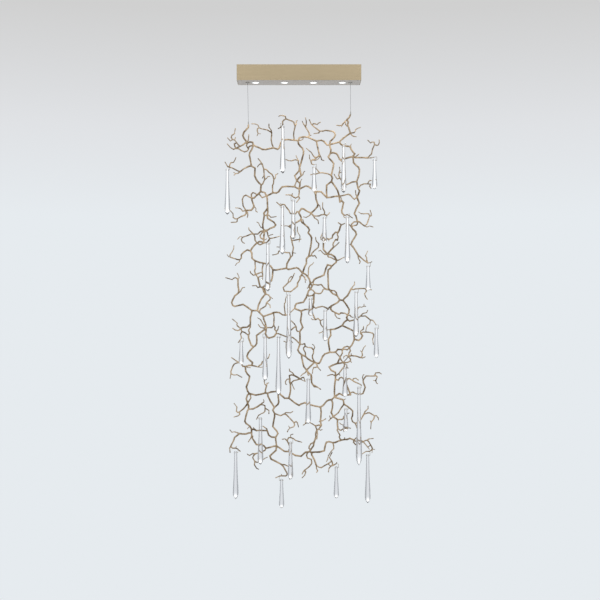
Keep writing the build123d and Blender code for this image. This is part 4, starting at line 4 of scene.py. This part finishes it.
import bmesh
import bpy
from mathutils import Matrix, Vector


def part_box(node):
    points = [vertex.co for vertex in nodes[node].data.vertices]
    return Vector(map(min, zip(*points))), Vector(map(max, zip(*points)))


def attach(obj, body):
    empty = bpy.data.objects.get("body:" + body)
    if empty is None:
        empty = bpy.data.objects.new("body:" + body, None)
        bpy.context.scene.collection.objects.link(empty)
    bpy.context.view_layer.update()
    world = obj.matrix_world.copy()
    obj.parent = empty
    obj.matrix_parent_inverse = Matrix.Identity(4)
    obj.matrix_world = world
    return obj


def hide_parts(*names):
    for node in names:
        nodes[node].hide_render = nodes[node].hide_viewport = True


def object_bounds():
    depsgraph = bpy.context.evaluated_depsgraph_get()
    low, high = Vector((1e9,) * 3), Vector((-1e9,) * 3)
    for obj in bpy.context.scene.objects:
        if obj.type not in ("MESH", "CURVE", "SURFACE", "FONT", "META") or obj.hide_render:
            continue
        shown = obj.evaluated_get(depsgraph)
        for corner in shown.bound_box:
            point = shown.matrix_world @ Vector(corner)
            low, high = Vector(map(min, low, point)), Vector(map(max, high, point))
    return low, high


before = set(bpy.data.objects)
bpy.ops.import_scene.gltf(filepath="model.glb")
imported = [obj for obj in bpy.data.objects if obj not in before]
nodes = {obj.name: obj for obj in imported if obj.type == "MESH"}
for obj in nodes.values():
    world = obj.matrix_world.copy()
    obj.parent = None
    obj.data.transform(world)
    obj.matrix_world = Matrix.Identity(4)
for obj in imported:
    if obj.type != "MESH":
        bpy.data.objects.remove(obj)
cad_low, cad_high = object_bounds()

# Ceiling plate
# A stamped strip of zinc plated steel, screwed to the ceiling through its slots.
# Its folded end tabs carry the canopy shell.
ZINC = (0.55, 0.56, 0.56)
ZINC_DULL = (0.40, 0.41, 0.43)


class Shade:
    """A socket in one set of nodes; sums on it add Math nodes, and node() adds any other kind."""

    def __init__(self, tree, socket):
        self.tree = tree
        self.socket = socket

    def node(self, kind, settings, inputs, out=0):
        made = self.tree.nodes.new(kind)
        for name, value in settings.items():
            if name == "stops":
                ramp = made.color_ramp.elements
                while len(ramp) < len(value):
                    ramp.new(1.0)
                for stop, (place, colour) in zip(ramp, value):
                    stop.position = place
                    stop.color = (*colour, 1)
            else:
                setattr(made, name, value)
        for name, value in inputs.items():
            if isinstance(value, Shade):
                self.tree.links.new(value.socket, made.inputs[name])
            else:
                made.inputs[name].default_value = value
        return Shade(self.tree, made.outputs[out])

    def maths(self, operation, first, second):
        return self.node("ShaderNodeMath", {"operation": operation}, {0: first, 1: second})

    def __add__(self, other):
        return self.maths("ADD", self, other)

    __radd__ = __add__

    def __sub__(self, other):
        return self.maths("SUBTRACT", self, other)

    def __rsub__(self, other):
        return self.maths("SUBTRACT", other, self)

    def __mul__(self, other):
        return self.maths("MULTIPLY", self, other)

    __rmul__ = __mul__

    def __abs__(self):
        return self.maths("ABSOLUTE", self, 0)

    def length(self):
        """How far this place is from the piece's own origin."""
        return self.node("ShaderNodeVectorMath", {"operation": "LENGTH"}, {0: self}, out=1)

    def spread(self, low, high):
        """This value stretched so that low becomes 0 and high becomes 1, and held between them."""
        return self.node("ShaderNodeMapRange", {}, {0: self, 1: low, 2: high})

    def between(self, low, high):
        """This share of the way from one colour to another."""
        ends = [end if isinstance(end, Shade) else (*end, 1) for end in (low, high)]
        return self.node("ShaderNodeMix", {"data_type": "RGBA"}, {0: self, 6: ends[0], 7: ends[1]}, out=2)

    def noise(self, scale, detail=3.0, stretch=(1, 1, 1)):
        """Noise over this place, from 0 to 1, at so many grains to the metre."""
        stretched = self.node("ShaderNodeMapping", {}, {"Vector": self, "Scale": stretch})
        grain = {"Vector": stretched, "Scale": scale, "Detail": detail}
        return self.node("ShaderNodeTexNoise", {}, grain)

    def bump(self, strength, distance):
        """A normal with this height pressed into it."""
        pressed = {"Strength": strength, "Distance": distance, "Height": self}
        return self.node("ShaderNodeBump", {}, pressed)


def finish(name, plain, **varied):
    """A new material; its varied sockets are functions of the place on the surface."""
    made = bpy.data.materials.new(name)
    made.use_nodes = True
    tree = made.node_tree
    shader = tree.nodes["Principled BSDF"]
    for socket, value in plain.items():
        shader.inputs[socket].default_value = value
    place = Shade(tree, tree.nodes.new("ShaderNodeTexCoord").outputs["Object"])
    for socket, look in varied.items():
        tree.links.new(look(place).socket, shader.inputs[socket.replace("_", " ")])
    return made


def coat(node, made):
    """Gives a piece that stays as the frame has it its material."""
    nodes[node].data.materials.clear()
    nodes[node].data.materials.append(made)


zinc = finish(
    "zinc_plate", {"Metallic": 1.0},
    Base_Color=lambda place: place.noise(60).between(ZINC_DULL, ZINC),
    Roughness=lambda place: 0.3 + 0.25 * place.noise(140),
    Normal=lambda place: place.noise(900).bump(0.15, 0.0003))
coat("ceiling_plate", zinc)

# Supply grommet
# A soft black rubber collar with a rim, pushed up into the ceiling plate.
# It keeps the supply cable off the edge of its hole.
RUBBER = (0.02, 0.02, 0.021)
RUBBER_DUSTY = (0.05, 0.05, 0.05)
rubber = finish(
    "black_rubber", {"Specular IOR Level": 0.3},
    Base_Color=lambda place: place.noise(300).between(RUBBER, RUBBER_DUSTY),
    Roughness=lambda place: 0.6 + 0.2 * place.noise(500),
    Normal=lambda place: place.noise(1500).bump(0.2, 0.0002))
coat("supply_grommet", rubber)

# Canopy shell
# A folded sheet-metal box, plated a pale champagne gold and brushed along its length.
# Its edges are broken, and four dome screws hold it to the ceiling plate.
CHAMPAGNE = (0.49, 0.39, 0.247)
CHAMPAGNE_DEEP = (0.41, 0.327, 0.203)
EDGE = 0.0006
EDGE_STEPS = 2
SHARP = math.radians(35)
WELD = 1e-6


def skin(node, made, body, edge=0.0):
    """A copy of a node with welded corners, smooth rounds and broken edges, which stands for it."""
    mesh = nodes[node].data.copy()
    shape = bmesh.new()
    shape.from_mesh(mesh)
    bmesh.ops.remove_doubles(shape, verts=shape.verts, dist=WELD)
    shape.to_mesh(mesh)
    shape.free()
    if "custom_normal" in mesh.attributes:
        mesh.attributes.remove(mesh.attributes["custom_normal"])
    mesh.shade_smooth()
    mesh.set_sharp_from_angle(angle=SHARP)
    mesh.materials.clear()
    mesh.materials.append(made)
    piece = bpy.data.objects.new(node + "_skin", mesh)
    bpy.context.scene.collection.objects.link(piece)
    if edge:
        bevel = piece.modifiers.new("edge", "BEVEL")
        bevel.width = edge
        bevel.segments = EDGE_STEPS
        bevel.limit_method = "ANGLE"
        bevel.angle_limit = SHARP
        bevel.harden_normals = True
    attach(piece, body)
    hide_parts(node)
    return piece


champagne = finish(
    "champagne_metal", {"Metallic": 0.75},
    Base_Color=lambda place: (
        0.6 * place.noise(45, 4, (0.15, 1, 2.5)) + 0.4 * place.noise(9)).between(CHAMPAGNE_DEEP, CHAMPAGNE),
    Roughness=lambda place: 0.36 + 0.18 * place.noise(260, 4, (0.06, 1, 1)),
    Normal=lambda place: place.noise(700, 3, (0.04, 1, 1)).bump(0.12, 0.0003))
skin("canopy_shell", champagne, "canopy", EDGE)

# Bottom plate
# A flat satin grey sheet inside the shell's lower rim, cut for the spots and the cable grips.
# Six countersunk screws hold it up.
SATIN = (0.67, 0.61, 0.55)
SATIN_DEEP = (0.57, 0.52, 0.47)
satin = finish(
    "satin_plate", {"Metallic": 0.35},
    Base_Color=lambda place: place.noise(30, 4, (0.3, 1, 1)).between(SATIN_DEEP, SATIN),
    Roughness=lambda place: 0.42 + 0.16 * place.noise(200, 3, (0.1, 1, 1)),
    Normal=lambda place: place.noise(900).bump(0.08, 0.0003))
skin("bottom_plate", satin, "canopy", EDGE / 2)

# Screws
# Zinc plated steel with dome heads at the canopy's ends, countersunk heads below
# and pan heads inside.
skin("canopy_screws", zinc, "canopy")

# Spots
# Each has a white enamelled bezel, a frosted lens lit from behind, a round light engine on a
# finned aluminium heat sink and two sprung steel clips.
ENAMEL = (0.80, 0.80, 0.79)
ENAMEL_WARM = (0.74, 0.73, 0.70)
GLOW = (0.97, 0.99, 1.0)
GLOW_STRENGTH = 2.2
BOARD = (0.82, 0.83, 0.80)
BOARD_DULL = (0.70, 0.72, 0.70)
SINK = (0.42, 0.43, 0.45)
SINK_DARK = (0.30, 0.31, 0.33)
enamel = finish(
    "bezel_enamel", {"Coat Weight": 0.3},
    Base_Color=lambda place: place.noise(80).between(ENAMEL_WARM, ENAMEL),
    Roughness=lambda place: 0.3 + 0.15 * place.noise(300),
    Normal=lambda place: place.noise(1200).bump(0.05, 0.0002))
skin("spot_bezels", enamel, "canopy", EDGE / 3)
frosted = finish(
    "frosted_lens", {"Base Color": (*GLOW, 1), "Emission Strength": GLOW_STRENGTH},
    Emission_Color=lambda place: place.noise(500).between(ENAMEL, GLOW),
    Roughness=lambda place: 0.5 + 0.3 * place.noise(900),
    Normal=lambda place: place.noise(2500).bump(0.3, 0.0002))
skin("spot_lenses", frosted, "canopy")
board = finish(
    "engine_board", {},
    Base_Color=lambda place: place.noise(120).between(BOARD_DULL, BOARD),
    Roughness=lambda place: 0.4 + 0.2 * place.noise(400))
coat("led_modules", board)
sink = finish(
    "sink_anodised", {"Metallic": 0.9},
    Base_Color=lambda place: place.noise(90).between(SINK_DARK, SINK),
    Roughness=lambda place: 0.35 + 0.2 * place.noise(250),
    Normal=lambda place: place.noise(900).bump(0.1, 0.0002))
coat("heat_sinks", sink)
coat("spring_clips", zinc)
SPOTS = 4
SPOT_WATTS = 1.1
SPOT_ANGLE = math.radians(60)
SPOT_BLEND = 0.9
lens_low, lens_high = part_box("spot_lenses")
lens_round = (lens_high.y - lens_low.y) / 2
for spot in range(SPOTS):
    beam = bpy.data.lights.new(f"spot_beam_{spot}", "SPOT")
    beam.energy = SPOT_WATTS
    beam.spot_size = SPOT_ANGLE
    beam.spot_blend = SPOT_BLEND
    beam.shadow_soft_size = lens_round / 2
    lamp = bpy.data.objects.new(beam.name, beam)
    first = lens_low.x + lens_round
    pitch = (lens_high.x - lens_low.x - 2 * lens_round) / (SPOTS - 1)
    lamp.location = (first + spot * pitch, 0, lens_low.z - lens_round / 4)
    bpy.context.scene.collection.objects.link(lamp)

# Driver and terminal block
# White moulded plastic housings, screwed under the ceiling plate.
# The driver feeds the spots, and the block takes the supply cable.
MOULDED = (0.72, 0.72, 0.69)
MOULDED_SHADE = (0.62, 0.62, 0.60)
moulded = finish(
    "moulded_plastic", {},
    Base_Color=lambda place: place.noise(40).between(MOULDED_SHADE, MOULDED),
    Roughness=lambda place: 0.45 + 0.2 * place.noise(350),
    Normal=lambda place: place.noise(1800).bump(0.2, 0.0002))
coat("led_driver", moulded)
coat("terminal_block", moulded)

# Cable grips and nuts
# Turned brass, plated a satin nickel grey; the wire's ball sits inside.
# A nut above clamps each grip to the bottom plate.
TURNED = (0.50, 0.48, 0.44)
TURNED_DARK = (0.36, 0.345, 0.315)
turned = finish(
    "turned_nickel", {"Metallic": 0.8},
    Base_Color=lambda place: place.noise(150).between(TURNED_DARK, TURNED),
    Roughness=lambda place: 0.3 + 0.2 * place.noise(400, 3, (1, 1, 6)),
    Normal=lambda place: place.noise(1400, 2, (0.2, 0.2, 4)).bump(0.12, 0.0002))
skin("cable_grips", turned, "canopy", EDGE / 3)
coat("grip_nuts", turned)

# Suspension wires and ferrules
# Stranded stainless wire with a swaged ball at the top.
# A plated brass ferrule joins it to the highest twig on each side.
STRAND = (0.36, 0.36, 0.35)
STRAND_DARK = (0.13, 0.13, 0.13)
strand = finish(
    "wire_strand", {"Metallic": 1.0},
    Base_Color=lambda place: place.noise(1500, 2, (1, 1, 0.4)).between(STRAND_DARK, STRAND),
    Roughness=lambda place: 0.35 + 0.2 * place.noise(1200),
    Normal=lambda place: place.noise(2200, 2, (1, 1, 0.5)).bump(0.4, 0.0003))
skin("suspension_wires", strand, "branch_panel")
skin("wire_ferrules", turned, "branch_panel", EDGE / 3)

# Twigs
# Modules of cast bronze twigs, pinned end to end, with knots and a patchy gold patina.
# The metal is drawn smooth over the six-sided lengths of the frame.
MODULES = [
    "crown_left", "crown_middle", "crown_right",
    "upper_left", "upper_middle", "upper_inner", "upper_right",
    "lower_left", "lower_middle", "lower_right",
    "hem_left", "hem_middle", "hem_right"]
TWIG_GRAIN = 0.0013
ROUNDS = 7
ROUNDING = 0.5
KNOT_SIZE = 0.016
KNOT_DEPTH = 2
KNOT_HIGH = 0.0016
KNOT_LEVEL = 0.28
PATINA_GRAIN = 38
PATINA_RUBBED = (0.34, 0.62)
JOINT_NEAR = 0.012
JOINT_PAST = 0.003
JOINT_FLAT = 0.0002
BRONZE_GOLD = (0.69, 0.53, 0.35)
BRONZE_DARK = (0.215, 0.147, 0.085)
bronze = finish(
    "twig_bronze", {"Metallic": 0.5, "Specular IOR Level": 0.3},
    Base_Color=lambda place: place.noise(PATINA_GRAIN, 4).spread(*PATINA_RUBBED).between(
        BRONZE_DARK, BRONZE_GOLD),
    Roughness=lambda place: 0.58 + 0.25 * place.noise(150),
    Normal=lambda place: (0.7 * place.noise(260, 4) + 0.3 * place.noise(900)).bump(0.4, 0.0006))


def pin_lines(node):
    """The middle and the direction of each pin between two modules."""
    pins = bmesh.new()
    pins.from_mesh(nodes[node].data)
    bmesh.ops.remove_doubles(pins, verts=pins.verts, dist=WELD)
    waiting = set(pins.verts)
    lines = []
    while waiting:
        pin = {waiting.pop()}
        edge = list(pin)
        while edge:
            beside = {link.other_vert(corner) for corner in edge for link in corner.link_edges}
            beside -= pin
            pin |= beside
            edge = list(beside)
        waiting -= pin
        middle = sum((corner.co for corner in pin), Vector()) / len(pin)
        spokes = [corner.co - middle for corner in pin]
        far = max(spokes, key=lambda away: away.length)
        along = sum((away for away in spokes if away.dot(far) > 0), Vector())
        lines.append((middle, along.normalized()))
    pins.free()
    return lines


def meet(piece, lines):
    """Runs the cut ends of a module a little past its joints, to meet there once they are rounded."""
    corners = piece.data.vertices
    for middle, along in lines:
        near = [corner for corner in corners if (corner.co - middle).length < JOINT_NEAR]
        inward = math.copysign(1, sum((corner.co - middle).dot(along) for corner in near))
        for corner in near:
            if abs((corner.co - middle).dot(along)) < JOINT_FLAT:
                corner.co -= along * inward * JOINT_PAST


joints = pin_lines("joint_pins")
knots = bpy.data.textures.new("twig_knots", "CLOUDS")
knots.noise_scale = KNOT_SIZE
knots.noise_depth = KNOT_DEPTH
for module in MODULES:
    twigs = skin(module, bronze, "branch_panel")
    meet(twigs, joints)
    cast = twigs.modifiers.new("cast", "REMESH")
    cast.mode = "VOXEL"
    cast.voxel_size = TWIG_GRAIN
    cast.use_smooth_shade = True
    rounded = twigs.modifiers.new("rounded", "SMOOTH")
    rounded.factor = ROUNDING
    rounded.iterations = ROUNDS
    knotted = twigs.modifiers.new("knotted", "DISPLACE")
    knotted.texture = knots
    knotted.texture_coords = "GLOBAL"
    knotted.strength = KNOT_HIGH
    knotted.mid_level = KNOT_LEVEL
coat("joint_pins", bronze)

# Drop hooks
# Short bent brass wires, soldered into the twigs.
# Each goes through the eye of one drop and lets it swing.
HOOK = (0.42, 0.31, 0.17)
HOOK_DARK = (0.25, 0.17, 0.08)
hook_wire = finish(
    "hook_wire", {"Metallic": 0.9},
    Base_Color=lambda place: place.noise(200).between(HOOK_DARK, HOOK),
    Roughness=lambda place: 0.3 + 0.2 * place.noise(500))
skin("drop_hooks", hook_wire, "branch_panel")

# Glass drops
# Long solid drops of clear glass, drawn by hand, drilled through the neck and fire polished.
# Slow ripples run down them from the drawing.
GLASS = (0.90, 0.915, 0.93)
RIPPLE = 0.0004
glass = finish(
    "clear_glass", {"Base Color": (*GLASS, 1), "Transmission Weight": 1.0, "IOR": 1.5},
    Roughness=lambda place: 0.01 + 0.02 * place.noise(60),
    Normal=lambda place: place.noise(70, 1, (1, 1, 0.06)).bump(0.2, RIPPLE))
for node in sorted(nodes):
    if node.startswith("drop_") and node[-1].isdigit():
        skin(node, glass, node)

# Floor, background and light
# A pale floor below the frame of the picture, a pale blue-white background that greys towards the
# top, and soft light from the front and above. Glass and metal see four grey flags at the corners
# of the studio, which draw the edges of the drops, and the glass sees a white sheet overhead.
FLOOR = (0.88, 0.89, 0.90)
FLOOR_DULL = [0.97 * part for part in FLOOR]
FLOOR_ROUND = 1.5
FLOOR_SIDES = 96
FLOOR_SOLID = 0.5
FLOOR_BELOW = 0.9
PALE = (0.791, 0.831, 0.863)
MISTY = (0.745, 0.760, 0.783)
GREY = (0.631, 0.631, 0.631)
BACKDROP_RISE = (0.08, 0.165, 0.27)
SHEET = (1.32, 1.32, 1.32)
BELOW = (0.80, 0.815, 0.84)
SHEET_RISE = (-0.2, 0.2)
FLAG = (0.34, 0.35, 0.37)
FLAG_EDGE = (0.27, 0.46)
SOFT_LIGHT = (0.95, 0.97, 1.0)
SOFT_STRENGTH = 0.54
floor_mesh = bpy.data.meshes.new("floor")
round_floor = bmesh.new()
bmesh.ops.create_circle(round_floor, cap_ends=True, radius=FLOOR_ROUND, segments=FLOOR_SIDES)
round_floor.to_mesh(floor_mesh)
round_floor.free()
floor = bpy.data.objects.new("floor", floor_mesh)
floor.location = (0, 0, cad_low.z - FLOOR_BELOW)
bpy.context.scene.collection.objects.link(floor)
floor_mesh.materials.append(finish(
    "pale_floor", {"Roughness": 0.8},
    Base_Color=lambda place: place.noise(3).between(FLOOR_DULL, FLOOR),
    Alpha=lambda place: 1 - place.length().spread(FLOOR_SOLID, FLOOR_ROUND)))

world = bpy.data.worlds.new("studio")
bpy.context.scene.world = world
world.use_nodes = True
sky = world.node_tree
sky.nodes.clear()
looking = Shade(sky, sky.nodes.new("ShaderNodeTexCoord").outputs["Generated"])
across, along, upward = [
    looking.node("ShaderNodeSeparateXYZ", {}, {0: looking}, out=axis) for axis in range(3)]
backdrop = upward.node(
    "ShaderNodeValToRGB", {"stops": list(zip(BACKDROP_RISE, [PALE, MISTY, GREY]))}, {0: upward})
overhead = upward.spread(*SHEET_RISE).between(BELOW, SHEET)
flagged = abs(across * along).spread(*FLAG_EDGE)
mirrored = flagged.between(PALE, FLAG)
bent = flagged.between(overhead, FLAG)
paths = sky.nodes.new("ShaderNodeLightPath").outputs
mixed = upward.node(
    "ShaderNodeBackground", {}, {"Color": (*SOFT_LIGHT, 1), "Strength": SOFT_STRENGTH})
for ray, view in [("Glossy", mirrored), ("Transmission", bent), ("Camera", backdrop)]:
    shown = view.node("ShaderNodeBackground", {}, {"Color": view, "Strength": 1.0})
    share = Shade(sky, paths[f"Is {ray} Ray"])
    mixed = share.node("ShaderNodeMixShader", {}, {0: share, 1: mixed, 2: shown})
sky.links.new(mixed.socket, sky.nodes.new("ShaderNodeOutputWorld").inputs["Surface"])


def soft_box(name, place, aim, wide, watts):
    """A square studio lamp that faces a point."""
    lamp = bpy.data.lights.new(name, "AREA")
    lamp.size = wide
    lamp.energy = watts
    holder = bpy.data.objects.new(name, lamp)
    holder.location = place
    turn = holder.location - aim
    holder.rotation_euler = turn.to_track_quat("Z", "Y").to_euler()
    bpy.context.scene.collection.objects.link(holder)


KEY_PLACE = (-1.5, -2.9, 1.9)
KEY_WIDE = 2.2
KEY_WATTS = 33
FILL_PLACE = (2.0, -2.6, 1.7)
FILL_WIDE = 2.0
FILL_WATTS = 42
middle = (cad_low + cad_high) / 2
soft_box("key_light", KEY_PLACE, middle, KEY_WIDE, KEY_WATTS)
soft_box("fill_light", FILL_PLACE, middle, FILL_WIDE, FILL_WATTS)

# Camera
# Level, a little over five metres in front, at half the height of the picture.
VIEW_WIDE = 3.0
VIEW_FROM = (0.005, -5.166, -1.165)
camera = bpy.data.cameras.new("camera")
camera.angle = 2 * math.atan(VIEW_WIDE / 2 / -VIEW_FROM[1])
viewer = bpy.data.objects.new("camera", camera)
viewer.location = VIEW_FROM
viewer.rotation_euler = (math.pi / 2, 0, 0)
bpy.context.scene.collection.objects.link(viewer)
bpy.context.scene.camera = viewer
bpy.context.scene.view_settings.view_transform = "Standard"
